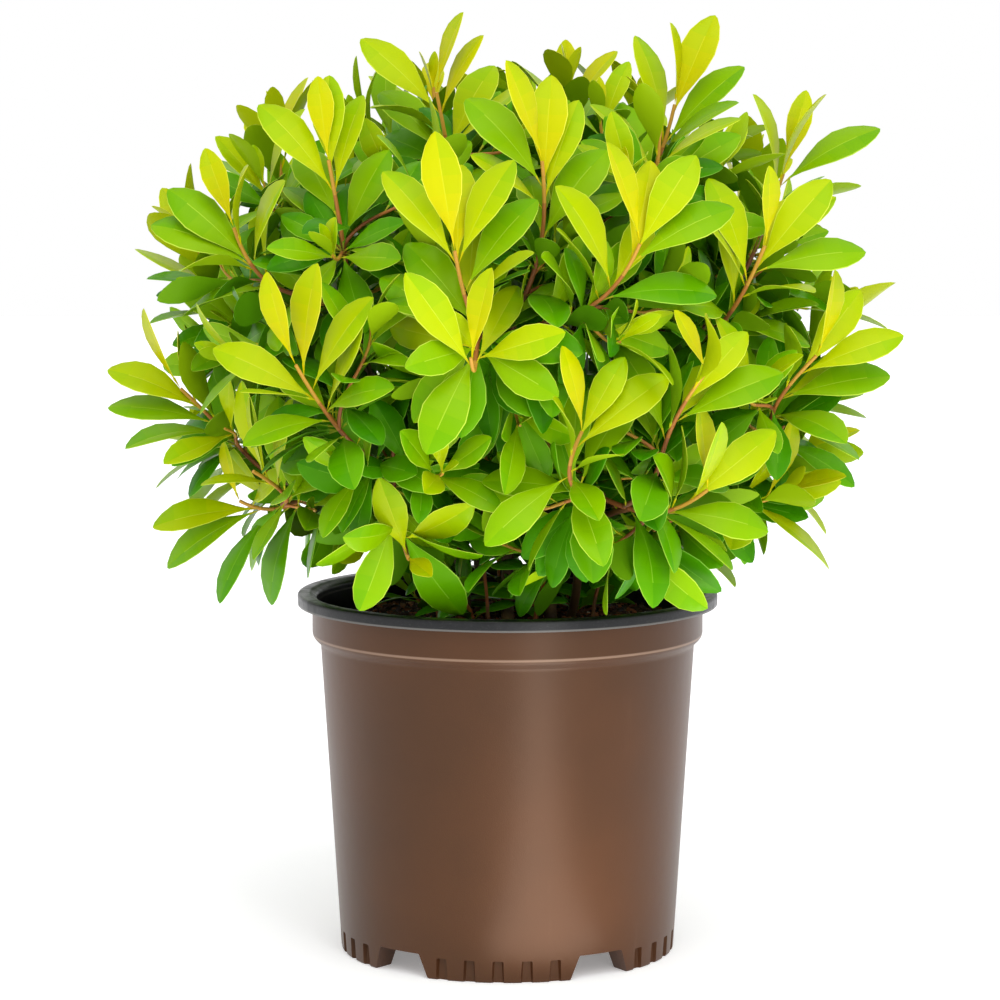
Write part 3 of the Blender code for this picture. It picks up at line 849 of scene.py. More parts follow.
def fill_seats(seats, total, inset, lowest_rise):
    """Adds the emptiest places on a skin until there are enough seats."""
    spots = []
    lowest = math.sin(math.radians(lowest_rise))
    for index in range(SEAT_CHOICES):
        rise = math.asin(lowest + (1.0 - lowest) * (index + 0.5) / SEAT_CHOICES)
        spots.append(on_crown(direction(index * SPIRAL, rise), inset))
    while len(seats) < total:
        seats.append(max(spots, key=lambda spot: min((spot - seat).length for seat in seats)))
    return seats


main_seats = fill_seats([front_seat(turn, rise) for turn, rise in FRONT_SHOOTS],
                        SHOOTS, ROSETTE_INSET, LOWEST_SEAT_RISE)
print("main shoots:", len(main_seats))

# %% [markdown]
# Six stems rise from the mix, and sixteen boughs stand on their tips. Each bough serves the
# seats that lie nearest to the way it points. Paths are cubic curves that leave and arrive in
# given directions, which is how a limb that grew there would bend.

# %% Stems and boughs
BOUGH_TIERS = ((7, -16, -24), (6, 26, 0), (3, 62, 40))
TOP_TIER_HEIGHT = 0.510
OUTER_STEMS = 5
STEM_SPREAD = 0.030
STEM_FORK = 0.290
STEM_FORK_SPREAD = 0.050
MIDDLE_STEM_EXTRA = 0.050
STEM_RADIUS = 0.0042
STEM_TAPER = 0.8
BOUGH_RADIUS = 0.0026
BOUGH_TIP_RADIUS = 0.0021
BOUGH_SHARE = 0.42
BOUGH_LIFT = 0.35
PATH_PULL = 0.4
LIMB_POINTS = 40


def curve_points(start, start_way, end, end_way, count, end_pull=PATH_PULL):
    """A smooth path between two places, leaving and arriving in the given directions."""
    run = (end - start).length
    a, b = start + start_way * (run * PATH_PULL), end - end_way * (run * end_pull)
    path = []
    for step in range(count):
        t = step / (count - 1)
        s = 1.0 - t
        path.append(start * s**3 + a * (3 * s * s * t) + b * (3 * s * t * t) + end * t**3)
    return path


def taper(first, last, count):
    return [first + (last - first) * step / (count - 1) for step in range(count)]


class Limb:
    """A stem or bough: a tapering path."""

    def __init__(self, path, radii):
        self.path = path
        self.radii = radii

    @property
    def tip(self):
        return self.path[-1]

    @property
    def way(self):
        return (self.path[-1] - self.path[-2]).normalized()


def stem_limbs():
    """Stems round the axis that lean out, and a taller one up the middle."""
    stems = []
    for index in range(OUTER_STEMS + 1):
        outer = index < OUTER_STEMS
        out = direction(index * math.tau / OUTER_STEMS)
        foot = out * (STEM_SPREAD if outer else 0.0) + UP * (SOIL_LEVEL + GAP)
        fork = UP * (STEM_FORK if outer else STEM_FORK + MIDDLE_STEM_EXTRA)
        fork += out * (STEM_FORK_SPREAD if outer else 0.0)
        fork_way = (UP + out).normalized() if outer else UP
        path = curve_points(foot, UP, fork, fork_way, LIMB_POINTS)
        stems.append(Limb(path, taper(STEM_RADIUS, STEM_RADIUS * STEM_TAPER, LIMB_POINTS)))
    return stems


def bough_groups(seats):
    """Shares the seats among the boughs, each to the bough that points nearest to it."""
    ways = []
    for count, rise, first in BOUGH_TIERS:
        for index in range(count):
            turn = math.radians(first + index * 360.0 / count)
            ways.append(direction(turn, math.radians(rise)))
    groups = [[] for _ in ways]
    for seat in seats:
        toward = (seat - MIDDLE).normalized()
        best = max(range(len(ways)), key=lambda number: ways[number].dot(toward))
        groups[best].append(seat)
    return [group for group in groups if group]


def mean_place(places):
    return sum(places, Vector()) / len(places)


def places_round_tip(stem, load):
    """Gives the boughs of a stem even places round its tip, in the order in which they point."""
    side = stem.way.orthogonal().normalized()
    across = stem.way.cross(side)
    centre = mean_place([middle for number, middle in load])
    pointing = []
    for number, middle in load:
        aside = middle - centre
        pointing.append((math.atan2(aside.dot(across), aside.dot(side)), number, middle))
    pointing.sort()
    step = math.tau / len(load)
    turned_back = [angle - index * step for index, (angle, _, _) in enumerate(pointing)]
    first = math.atan2(sum(map(math.sin, turned_back)), sum(map(math.cos, turned_back)))
    ring = (BOUGH_RADIUS + GAP) / math.sin(step / 2.0) if len(load) > 1 else 0.0
    for index, (_, number, middle) in enumerate(pointing):
        angle = first + index * step
        out = side * math.cos(angle) + across * math.sin(angle)
        yield number, middle, stem.tip + stem.way * GAP + out * ring


def bough_limbs(stems, groups):
    """Boughs stand on the fork of the stem that leans their way, side by side round its tip."""
    carried = [[] for _ in stems]
    for number, group in enumerate(groups):
        middle = mean_place(group)
        best = len(stems) - 1
        if middle.z < TOP_TIER_HEIGHT:
            best = min(range(best), key=lambda index: (stems[index].tip - middle).xy.length)
        carried[best].append((number, middle))
    boughs = {}
    for stem, load in zip(stems, carried):
        for number, middle, start in places_round_tip(stem, load):
            end = start + (middle - start) * BOUGH_SHARE
            end_way = ((middle - start).normalized() + UP * BOUGH_LIFT).normalized()
            path = curve_points(start, stem.way, end, end_way, LIMB_POINTS)
            boughs[number] = Limb(path, taper(BOUGH_RADIUS, BOUGH_TIP_RADIUS, LIMB_POINTS))
    return [boughs[number] for number in range(len(groups))]


groups = bough_groups(main_seats)
stems = stem_limbs()
boughs = bough_limbs(stems, groups)
print("stems:", len(stems), "boughs:", len(boughs))

# %% [markdown]
# A limb's skin is a row of rings joined by bridge_loops. Young bark is smooth, with fine upright
# cracks, a swelling at each old leaf joint and a flare where a stem meets the mix, so each ring's
# points are moved in or out by noise that is drawn out along the limb.

# %% Limbs with bark
LIMB_SIDES = 14
JOINT_SPACING = 0.017
JOINT_SWELL = 0.10
BARK_RELIEF = 0.09
FLARE = 0.45
FLARE_HEIGHT = 0.005
LIMB_SINK = 0.005
GRAIN = Vector((700.0, 700.0, 160.0))
LUMPS = 110.0
LUMP_SHARE = 0.8
JOINT_HALF_WIDTH = 0.0016


def tube(path, radii, sides, relief=None):
    """A tapering tube with closed ends, and its rings of points."""
    bm = bmesh.new()
    rings = []
    loops = []
    side = (path[1] - path[0]).orthogonal().normalized()
    for index, (place, radius) in enumerate(zip(path, radii)):
        ahead = (path[min(index + 1, len(path) - 1)] - path[max(index - 1, 0)]).normalized()
        side = (side - ahead * side.dot(ahead)).normalized()
        turn = Matrix((side, ahead.cross(side), ahead)).transposed().to_4x4()
        turn.translation = place
        ring = bmesh.ops.create_circle(bm, segments=sides, radius=radius, matrix=turn)["verts"]
        rings.append(ring)
        loops.append(list({edge for vert in ring for edge in vert.link_edges}))
    for near, far in zip(loops, loops[1:]):
        bmesh.ops.bridge_loops(bm, edges=near + far)
    bmesh.ops.holes_fill(bm, edges=loops[0] + loops[-1])
    bmesh.ops.recalc_face_normals(bm, faces=bm.faces)
    if relief:
        for index, (place, ring) in enumerate(zip(path, rings)):
            for vert in ring:
                vert.co = place + (vert.co - place) * relief(index, vert.co)
    return bm, rings


def distances(path):
    """How far along a path each of its points lies."""
    along = [0.0]
    for near, far in zip(path, path[1:]):
        along.append(along[-1] + (far - near).length)
    return along


def bark_relief(path, flared):
    """A rule for how many times its radius a limb's skin stands out at a place."""
    along = distances(path)

    def swell(index, place):
        grain = noise.noise(place * GRAIN)
        lump = noise.noise(place * LUMPS)
        joint = math.exp(-((along[index] % JOINT_SPACING) / JOINT_HALF_WIDTH) ** 2)
        flare = FLARE * math.exp(-along[index] / FLARE_HEIGHT) if flared else 0.0
        return 1.0 + BARK_RELIEF * (grain + LUMP_SHARE * lump) + JOINT_SWELL * joint + flare

    return swell


def make_limbs():
    scatter = Scatter()
    for limb in stems + boughs:
        start_way = (limb.path[1] - limb.path[0]).normalized()
        path = [limb.path[0] - start_way * LIMB_SINK] + limb.path
        radii = [limb.radii[0]] + limb.radii
        bm, _ = tube(path, radii, LIMB_SIDES, bark_relief(path, limb in stems))
        points, faces = as_arrays(bm)
        scatter.add(points, faces, [0] * len(faces))
        bm.free()
    return scatter.mesh("limbs")


def bark_finish():
    finish = Finish("bark", colour(92, 70, 38), 0.75)
    cracks = finish.noise(260.0, 5.0, (1.0, 1.0, 0.25))
    patches = finish.between(0.4, 0.65, finish.noise(70.0, 3.0))
    base = finish.blend(patches, colour(74, 54, 30), colour(122, 96, 54))
    finish.set(Base_Color=finish.blend(finish.between(0.58, 0.72, cracks), base, colour(50, 34, 20)),
               Roughness=0.65 + cracks * 0.2)
    finish.relief(cracks, 0.0005)
    return finish.material


limb_nodes = [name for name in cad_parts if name.startswith(("stem_", "bough_"))]
finish_piece("limbs", make_limbs(), [bark_finish()], limb_nodes, 60.0)

# %% [markdown]
# Twigs carry the rule on. From each bough a main twig runs to the middle seat of its group and
# forks to the others. Then finer side twigs leave those for seats deeper in the crown, where the
# gaps between the main shoots are widest. Without them the crown would be a hollow shell. Short
# basal shoots stand on the mix, and one bare stem slants to the right, as on the real plant.

# %% Twigs
SHOOT_SEED = 11
TWIG_FORKS = 3
FIRST_FORK = 2
FORK_STEPS = 6.0
TWIG_SPREAD = 0.6
TWIG_PULL = 0.62
MAIN_POINTS = 26
MAIN_RADII = (0.0019, 0.0012)
SIDE_SHOOTS = 150
SIDE_INSETS = (0.070, 0.095, 0.125)
SIDE_RADII = (0.0013, 0.0009)
SIDE_POINTS = 14
SIDE_EASE = 0.6
SIDE_WOBBLE = 0.16
SHORTEST_SIDE = 0.030
BACKWARD_COST = 0.8
LOWEST_SIDE_RISE = -52.0
FORK_SHARES = (0.30, 0.78)
BASAL_SHOOTS = 16
BASAL_REACH = (0.030, 0.100)
BASAL_HEIGHTS = (0.016, 0.085)
BASAL_FOOT = 0.7
BASAL_LEANS = (0.2, 0.7)
LOW_STEM_SEAT = 17
LOW_STEM_FOOT = Vector((0.040, 0.010, SOIL_LEVEL - 0.004))
LOW_STEM_JOIN = 0.55
LOW_STEM_RADII = (0.0034, 0.0021)


class Shoot:
    """A twig, the direction of its tip, its kind, and where its light comes from."""

    def __init__(self, path, radii, way, kind):
        self.path = path
        self.radii = radii
        self.way = way
        self.kind = kind
        self.seat = path[-1]
        self.light = (UP + outward(self.seat) * SIDE_LIGHT).normalized()


def main_shoots(bough, seats):
    """The main twig of a bough and the twigs that fork from it."""
    centre = mean_place(seats)
    ordered = sorted(seats, key=lambda seat: (seat - centre).length)
    start, start_way = bough.tip, bough.way
    way = seat_way(ordered[0])
    stem = curve_points(start, start_way, ordered[0], way, MAIN_POINTS, TWIG_PULL)
    yield Shoot(stem, taper(BOUGH_TIP_RADIUS, MAIN_RADII[1], MAIN_POINTS), way, "main")
    for index, seat in enumerate(ordered[1:]):
        fork = int((FIRST_FORK + index % TWIG_FORKS) / FORK_STEPS * MAIN_POINTS)
        root, way = stem[fork], seat_way(seat)
        away = (stem[fork + 1] - root).normalized().lerp((seat - root).normalized(), TWIG_SPREAD)
        path = curve_points(root, away.normalized(), seat, way, MAIN_POINTS, TWIG_PULL)
        yield Shoot(path, taper(*MAIN_RADII, MAIN_POINTS), way, "main")


def side_shoot(seat, carriers, chance):
    """A finer twig from the nearest reachable place on the main twigs to a seat."""
    best = None
    low, high = (int(share * MAIN_POINTS) for share in FORK_SHARES)
    for carrier in carriers:
        for index in range(low, high):
            root = carrier.path[index]
            ahead = (carrier.path[index + 1] - root).normalized()
            run = seat - root
            backward = 1.0 - ahead.dot(run.normalized())
            cost = run.length * (1.0 + BACKWARD_COST * backward)
            if run.length > SHORTEST_SIDE and (best is None or cost < best[0]):
                best = (cost, root, ahead)
    _, root, ahead = best
    wobble = Vector([chance.gauss(0.0, SIDE_WOBBLE) for _ in range(3)])
    way = (seat_way(seat) + (seat - root).normalized() * SIDE_EASE + wobble).normalized()
    away = ahead.lerp((seat - root).normalized(), TWIG_SPREAD).normalized()
    path = curve_points(root, away, seat, way, SIDE_POINTS)
    return Shoot(path, taper(*SIDE_RADII, SIDE_POINTS), way, "side")


def basal_shoot(number, chance):
    """A short new shoot straight from the foot of the plant."""
    out = direction(number * SPIRAL)
    reach = chance.uniform(*BASAL_REACH)
    foot = out * (BASAL_FOOT * reach) + UP * SOIL_LEVEL
    seat = out * reach + UP * (SOIL_LEVEL + chance.uniform(*BASAL_HEIGHTS))
    way = (UP + out * chance.uniform(*BASAL_LEANS)).normalized()
    return Shoot(curve_points(foot, UP, seat, way, SIDE_POINTS), taper(*SIDE_RADII, SIDE_POINTS),
                 way, "basal")


def low_stem(shoots):
    """The slanting stem at the front right, from the mix to a low shoot's twig."""
    carried = next(shoot for shoot in shoots if shoot.seat == main_seats[LOW_STEM_SEAT])
    join = int(LOW_STEM_JOIN * MAIN_POINTS)
    end = carried.path[join]
    end_way = (carried.path[join + 1] - end).normalized()
    way = (end - LOW_STEM_FOOT).normalized()
    path = curve_points(LOW_STEM_FOOT, way, end, way.lerp(end_way, 0.5).normalized(), MAIN_POINTS)
    return Shoot(path, taper(*LOW_STEM_RADII, MAIN_POINTS), end_way, "bare")


def all_shoots():
    shoots = [shoot for bough, group in zip(boughs, groups) for shoot in main_shoots(bough, group)]
    carriers = list(shoots)
    chance = random.Random(SHOOT_SEED)
    seats = list(main_seats)
    share = SIDE_SHOOTS // len(SIDE_INSETS)
    for inset in SIDE_INSETS:
        fill_seats(seats, len(seats) + share, inset, LOWEST_SIDE_RISE)
    for seat in seats[SHOOTS:]:
        shoots.append(side_shoot(seat, carriers, chance))
    for number in range(BASAL_SHOOTS):
        shoots.append(basal_shoot(number, chance))
    return shoots + [low_stem(carriers)]


shoots = all_shoots()
print("shoots:", len(shoots))

# %% [markdown]
# A leaf starts as a flat pattern. The upper sheet is a grid of five strips: pale margin, blade,
# midrib, blade, margin. The lower sheet has two strips. Merging their outer edges closes the
# leaf without a rim, and merging the first and last rows gives it a pointed stalk and tip. The
# pattern's points hold shares, not metres: across the blade, along it, and above or below it.

# %% Leaf pattern
STALK_SHARE = 0.13
BLADE_ROWS = 9
UPPER_STRIPS = (-1.0, -0.955, -0.025, 0.025, 0.955, 1.0)
LOWER_STRIPS = (-1.0, 0.0, 1.0)
BLADE_ZONES = (0.20, 0.36, 0.52, 0.70)
MIDRIB_END = 0.80
PARTS = ("stalk", "midrib", "margin", "underside", "zone_0", "zone_1", "zone_2", "zone_3", "zone_4")


def leaf_rows():
    """Shares along the leaf: its root, then blade rows that are closest at both ends."""
    rows = [0.0]
    for row in range(BLADE_ROWS + 1):
        share = (1.0 - math.cos(math.pi * row / BLADE_ROWS)) / 2.0
        rows.append(STALK_SHARE + (1.0 - STALK_SHARE) * share)
    return rows


def part_of(centre, upper):
    """Which finish a face of the pattern has, by where its middle lies."""
    blade = (centre.y - STALK_SHARE) / (1.0 - STALK_SHARE)
    if blade < 0.0:
        return "stalk"
    if not upper:
        return "underside"
    if abs(centre.x) > UPPER_STRIPS[-2]:
        return "margin"
    if abs(centre.x) < UPPER_STRIPS[-3] and blade < MIDRIB_END:
        return "midrib"
    return f"zone_{sum(blade > limit for limit in BLADE_ZONES)}"


def add_sheet(bm, strips, upper):
    """One side of the leaf, as a grid whose first and last rows shrink to a point."""
    rows = leaf_rows()
    verts = bmesh.ops.create_grid(bm, x_segments=len(strips) - 1, y_segments=len(rows) - 1,
                                  size=0.5)["verts"]
    faces = {face for vert in verts for face in vert.link_faces}
    for vert in verts:
        column = round((vert.co.x + 0.5) * (len(strips) - 1))
        row = round((vert.co.y + 0.5) * (len(rows) - 1))
        inside = 0 < column < len(strips) - 1
        vert.co = (strips[column], rows[row], (1.0 if upper else -1.0) if inside else 0.0)
    for face in faces:
        face.material_index = PARTS.index(part_of(face.calc_center_median(), upper))
        if not upper:
            face.normal_flip()
    for vert in verts:
        if vert.co.y in (rows[0], rows[-1]):
            vert.co.x = vert.co.z = 0.0


def leaf_pattern():
    bm = bmesh.new()
    add_sheet(bm, UPPER_STRIPS, True)
    add_sheet(bm, LOWER_STRIPS, False)
    bmesh.ops.remove_doubles(bm, verts=bm.verts, dist=MERGE)
    points, faces = as_arrays(bm)
    parts = [face.material_index for face in bm.faces]
    # Which half of the blade each face is on. One half gets a painted shade of the fold.
    sides = [int(face.calc_center_median().x > 0.0) for face in bm.faces]
    bm.free()
    return points, faces, parts, sides


leaf_shares, leaf_faces, leaf_parts, painted_fold_halves = leaf_pattern()
print("leaf:", len(leaf_shares), "points,", len(leaf_faces), "faces")

# %% [markdown]
# Bending the pattern gives each leaf its own form. The half width follows a sine whose peak sits
# past the middle, which makes the blunt, wedge-based blade of this shrub. Then the blade is
# folded at its midrib, rounded over towards its margins, twisted, and bowed along its length.

# %% Bending a leaf
LEAF_THICKNESS = 0.00045
STALK_HALF = 0.0007
WIDEST_POWER = 1.38
BASE_TAPER = 1.0
TIP_TAPER = 0.70


class LeafForm:
    """Length, width and bends of one leaf."""

    def __init__(self, length, width, fold, rounding, bow, twist, sweep):
        self.length = length
        self.width = width
        self.fold = fold
        self.rounding = rounding
        self.bow = bow
        self.twist = twist
        self.sweep = sweep


def half_width(form, blade):
    blade = np.clip(blade, 0.0, 1.0)
    shape = np.sin(math.pi * blade**WIDEST_POWER) ** (BASE_TAPER + (TIP_TAPER - BASE_TAPER) * blade)
    return STALK_HALF * (1.0 - blade) ** 0.5 + 0.5 * form.width * shape


def bent(form, shares):
    """The points of a leaf that lies along +Y with its upper side up."""
    across, along, lift = shares.T
    blade = (along - STALK_SHARE) / (1.0 - STALK_SHARE)
    half = half_width(form, blade)
    x = across * half
    thick = 0.5 * np.where(blade < 0.0, 2.0 * STALK_HALF, LEAF_THICKNESS)
    height = form.fold * np.abs(x) - form.rounding * x * x / np.maximum(half, STALK_HALF)
    height = height + lift * thick
    twist = form.twist * along
    x, height = (x * np.cos(twist) - height * np.sin(twist),
                 x * np.sin(twist) + height * np.cos(twist))
    bow = form.bow if abs(form.bow) > 0.01 else 0.01
    angle = bow * np.maximum(along - 0.5 * STALK_SHARE, 0.0)
    y = form.length * (np.sin(angle) / bow + np.minimum(along, 0.5 * STALK_SHARE))
    z = -form.length * (1.0 - np.cos(angle)) / bow
    sweep = form.sweep * form.length * along * along
    return np.stack([x + sweep, y + height * np.sin(angle), z + height * np.cos(angle)], axis=1)


def placed(points, root, along, upper):
    """Moves a leaf's points to its root, with its length along one way and its face another."""
    side = along.cross(upper).normalized()
    facing = side.cross(along)
    return points @ np.array([side, along, facing]) + np.array(root)


# %% [markdown]
# A leaf's colour goes with its age. The newest are lime with a clear yellow base, then they turn
# bright green, full green and, inside the crown, deep green. Each age has a few plain shades
# that are dealt out leaf by leaf, so that neighbours differ as they do on the plant. A blade
# goes from its low tone to its high one in five zones. Its two halves differ by one shade, which
# is painted light and shade of the fold. The margin and the midrib are paler lines, and the
# underside is duller.

# %% Leaf colours
AGES = {
    "new": {"stalk": (214, 196, 6), "low": (200, 193, 0), "midrib": (200, 203, 30),
            "margin": (220, 220, 64), "underside": (176, 190, 10),
            "high": [(180, 193, 0), (189, 195, 0), (170, 190, 4)]},
    "young": {"stalk": (202, 194, 16), "low": (180, 195, 0), "midrib": (186, 203, 40),
              "margin": (204, 219, 66), "underside": (148, 180, 12),
              "high": [(159, 190, 0), (169, 193, 0), (147, 186, 0)]},
    "bright": {"stalk": (192, 190, 34), "low": (136, 178, 0), "midrib": (154, 194, 40),
               "margin": (184, 212, 66), "underside": (126, 166, 14),
               "high": [(120, 173, 0), (130, 178, 0), (108, 167, 0)]},
    "full": {"stalk": (166, 172, 40), "low": (100, 164, 0), "midrib": (124, 182, 36),
             "margin": (154, 202, 62), "underside": (108, 160, 14),
             "high": [(88, 157, 0), (98, 163, 0), (77, 149, 0)]},
    "deep": {"stalk": (134, 150, 34), "low": (72, 142, 0), "midrib": (92, 156, 30),
             "margin": (120, 180, 54), "underside": (86, 142, 12),
             "high": [(60, 133, 0), (69, 140, 2), (52, 124, 0)]},
}
AGE_NAMES = tuple(AGES)
SHADES = 3
LEAF_ROUGHNESS = 0.34
LEAF_GLOSS = 0.17
GLOSS_TINT = (1.0, 1.0, 0.45, 1.0)


def leaf_tone(age, part, shade):
    """The screen colour of one part of a leaf. The zones of a blade go from low to high."""
    tones = AGES[age]
    if part in tones:
        return tones[part]
    share = int(part[-1]) / len(BLADE_ZONES)
    return [low + (high - low) * share for low, high in zip(tones["low"], tones["high"][shade])]


def leaf_finish(name, tone):
    finish = Finish(name, colour(*tone), LEAF_ROUGHNESS)
    finish.set(Specular_IOR_Level=LEAF_GLOSS, Specular_Tint=GLOSS_TINT)
    return finish.material


class Palette:
    """The plain finishes of the leaves of one age."""

    def __init__(self, age):
        self.age = age
        self.finishes = []
        self.numbers = {}

    def number(self, part, shade):
        key = f"{part}_{shade}" if part.startswith("zone") else part
        if key not in self.numbers:
            self.numbers[key] = len(self.finishes)
            tone = leaf_tone(self.age, part, shade)
            self.finishes.append(leaf_finish(f"{self.age}_leaf_{key}", tone))
        return self.numbers[key]

    def for_leaf(self, shade):
        """The finish number of every face. The two halves of a blade differ by one shade: painted
        fold shade.
        """
        return [self.number(PARTS[part], (shade + side) % SHADES)
                for part, side in zip(leaf_parts, painted_fold_halves)]


palettes = {age: Palette(age) for age in AGE_NAMES}

# %% [markdown]
# Leaves stand in a spiral round the end of their shoot, crowded at the tip. A new leaf stands
# almost upright, and an old one lies level or droops. Before a leaf is kept, a coarse copy of it
# is tested against the leaves and twigs near it. If it would touch one, it is swung aside, closed
# up or made smaller, and a leaf that still finds no room is left out, as on a crowded twig.

# %% Testing for room
CELL = 0.06
COARSE_ROWS = (0.22, 0.37, 0.52, 0.67, 0.82, 0.98)
COARSE_COLUMNS = (-0.94, 0.0, 0.94)


def coarse_leaf():
    """A few quads on either side of the midrib, which stand for a leaf in the tests."""
    shares = [(column, row, 0.0) for row in COARSE_ROWS for column in COARSE_COLUMNS]
    width = len(COARSE_COLUMNS)
    quads = [(start, start + 1, start + width + 1, start + width)
             for row in range(len(COARSE_ROWS) - 1)
             for start in range(width * row, width * row + width - 1)]
    return np.array(shares), quads


coarse_shares, coarse_quads = coarse_leaf()


class Room:
    """Remembers what stands where, in cells, and says whether something new would touch it."""

    def __init__(self):
        self.cells = {}

    def cell(self, place):
        return tuple(math.floor(value / CELL) for value in place)

    def add(self, place, tree, owner):
        self.cells.setdefault(self.cell(place), []).append((tree, owner))

    def near(self, place):
        x, y, z = self.cell(place)
        for i in (x - 1, x, x + 1):
            for j in (y - 1, y, y + 1):
                for k in (z - 1, z, z + 1):
                    yield from self.cells.get((i, j, k), ())

    def touched(self, place, tree, owner=None):
        return any(other.overlap(tree) for other, owned in self.near(place)
                   if owner is None or owned != owner)


def tube_tree(path, radius):
    """A three-sided tube along part of a path, for the tests."""
    bm, _ = tube(path, [radius] * len(path), 3)
    tree = BVHTree.FromBMesh(bm)
    bm.free()
    return tree


def twigs_in_room(room, number, shoot):
    step = 5
    for start in range(0, len(shoot.path) - step, step):
        stretch = shoot.path[start:start + step + 1]
        room.add(stretch[len(stretch) // 2], tube_tree(stretch, shoot.radii[start]), number)


# %% [markdown]
# The leaves that stand out at the front are set first, each from its shoot to the place where
# its tip shows in the picture. Its length settles how far it leans towards the viewer or away.
# Then the shoots are filled one after another, main ones first, and last the finer ones between
# them. A leaf that would hide more than a little of the first ones is left out. Low and inner
# shoots see less light, so their leaves are deeper green.

# %% Growing the leaves
LEAF_SEED = 5
LEAF_COUNTS = {"main": 18, "side": 14, "basal": 9, "bare": 0}
LEAFY_LENGTHS = {"main": 0.104, "side": 0.072, "basal": 0.042}
LEAF_LENGTHS = {"main": (0.058, 0.074), "side": (0.044, 0.063), "basal": (0.030, 0.048)}
CROWDING = 1.12
FIRST_LEAF = 0.001
NEW_LEAF_SHARE = 0.50
FULL_LENGTH_AGE = 0.14
SLENDER = (0.29, 0.36)
WIDTH_SPREAD = (0.92, 1.08)
FOLDS = (0.46, 0.24)
FOLD_SPREAD = 0.08
ROUNDINGS = (0.08, 0.24)
BOWS = (0.25, 0.75)
BOW_SPREAD = (-0.35, 0.30)
TWIST_SPREAD = 0.22
SWEEP_SPREAD = 0.05
AXIS_SHARE = 0.4
NEAREST_FOOT = 0.15
YOUNG_LIFT = 0.45
LEAF_ANGLES = (9.0, 84.0)
ANGLE_POWER = 0.72
ANGLE_SPREAD = 7.0
LEAST_ANGLE = 4.0
SWINGS = ((0, 0), (16, 0), (-16, 0), (0, 14), (0, -12), (32, 6), (-32, 6), (24, -14), (-24, -14),
          (0, 30), (0, 50), (50, 10), (-50, 10))
SIZES = (1.0, 0.86, 0.72)
LIGHT_PULL = 0.90
LOW_SPREAD = 0.30
RAGGED = 0.10
RAGGED_SCALE = 14.0
TOP_SETBACK = 0.18
SETBACK_HEIGHTS = (0.52, 0.60)
MIX_CLEARANCE = 0.004
MIX_MARGIN = 0.010
RIM_CLEARANCE = 0.002
LOW_SPREAD_START = 0.040
HANG = 0.016
HANG_PLACES = (-0.16, 0.02)
AGE_STEPS = 3.8
AGE_POWER = 0.9
AGE_SPREAD = 0.35
LOW_SHADE = 0.7
LOW_SHADE_RISES = (20.0, -50.0)
DEPTH_SHADE = 4.2
SHADES_OF_KIND = {"side": 0.6, "basal": 1.8}
PICTURE_WIDTH = 1000.0
SENSOR_WIDTH = 36.0
# Where leaf tips show on the first front shoots, youngest first, in points of the picture
FRONT_LEAVES = (
    ((465, 12), (487, 35), (359, 40), (497, 66), (384, 140)),
    ((318, 76), (330, 75), (365, 95), (255, 105), (300, 150), (392, 150)),
    ((205, 148), (252, 165), (290, 180), (165, 190), (147, 228)),
    ((435, 130), (462, 165), (380, 172), (517, 160), (541, 200), (402, 243)),
    ((505, 60), (552, 75), (580, 100), (462, 100), (612, 150)),
    ((605, 142), (650, 160), (697, 155), (550, 185), (738, 210), (720, 300)),
    ((668, 22), (716, 15), (631, 35), (747, 68), (745, 105)),
    ((806, 90), (830, 95), (748, 93), (883, 131), (831, 178)),
    ((768, 165), (800, 200), (832, 180), (705, 178), (868, 255)),
    ((145, 307), (180, 330), (105, 372), (106, 411), (122, 455), (215, 420)),
    ((268, 270), (320, 262), (377, 297), (211, 350), (400, 390), (240, 450), (357, 495)),
    ((493, 267), (404, 272), (518, 287), (568, 332), (391, 327), (400, 370), (562, 399), (425, 460)),
    ((225, 440), (287, 477), (152, 530), (323, 527), (168, 572), (222, 608), (275, 608)),
    ((433, 578), (378, 475), (477, 500), (338, 535), (358, 612), (465, 614)),
    ((560, 345), (625, 357), (550, 400), (670, 377), (483, 550), (600, 525), (605, 574), (543, 620)),
    ((673, 310), (700, 315), (748, 332), (785, 375), (612, 345)),
    ((833, 268), (860, 290), (905, 337), (892, 378), (850, 450)),
    ((698, 405), (720, 420), (776, 430), (648, 455), (770, 535), (838, 530), (650, 615)),
)
FRONT_AGES = (0.03, 0.72)
FRONT_BACK = 0.078
FRONT_BOWS = (0.20, 0.95)
FRONT_BOW_POWER = 0.6
FRONT_BOW_SPREAD = 0.15
FRONT_TWIST = 0.3
LEAST_STRETCH = 1.03
REACH_COST = 3.0
COVER_REACH = 0.12
COVER_ALLOWED = 1
FRONT_SIZES = (1.0, 0.92, 0.84, 0.76)
FRONT_REACH = 0.074
FRONT_TRIES = 5
FRONT_LIGHT_PULL = 0.45
FRONT_VIEW_PULL = 0.85
FRONT_FILL = 0.28
SEEN_STEM = 0.080
SEEN_STEM_RADIUS = 0.0022
LONGEST_LEAF = 0.082


def leaf_roots(shoot, count, leafy):
    """Root, axis and age of each leaf down a shoot. Age is 0 at the tip and 1 at the oldest."""
    along = distances(shoot.path)
    for index in range(count):
        age = index / (count - 1)
        back = FIRST_LEAF + leafy * age**CROWDING
        where = max(along[-1] - back, NEAREST_FOOT * along[-1])
        segment = max(number for number, length in enumerate(along[:-1]) if length <= where)
        share = (where - along[segment]) / (along[segment + 1] - along[segment])
        near, far = shoot.path[segment], shoot.path[segment + 1]
        axis = (far - near).normalized().lerp(shoot.way, AXIS_SHARE).normalized()
        yield near.lerp(far, share), axis, age


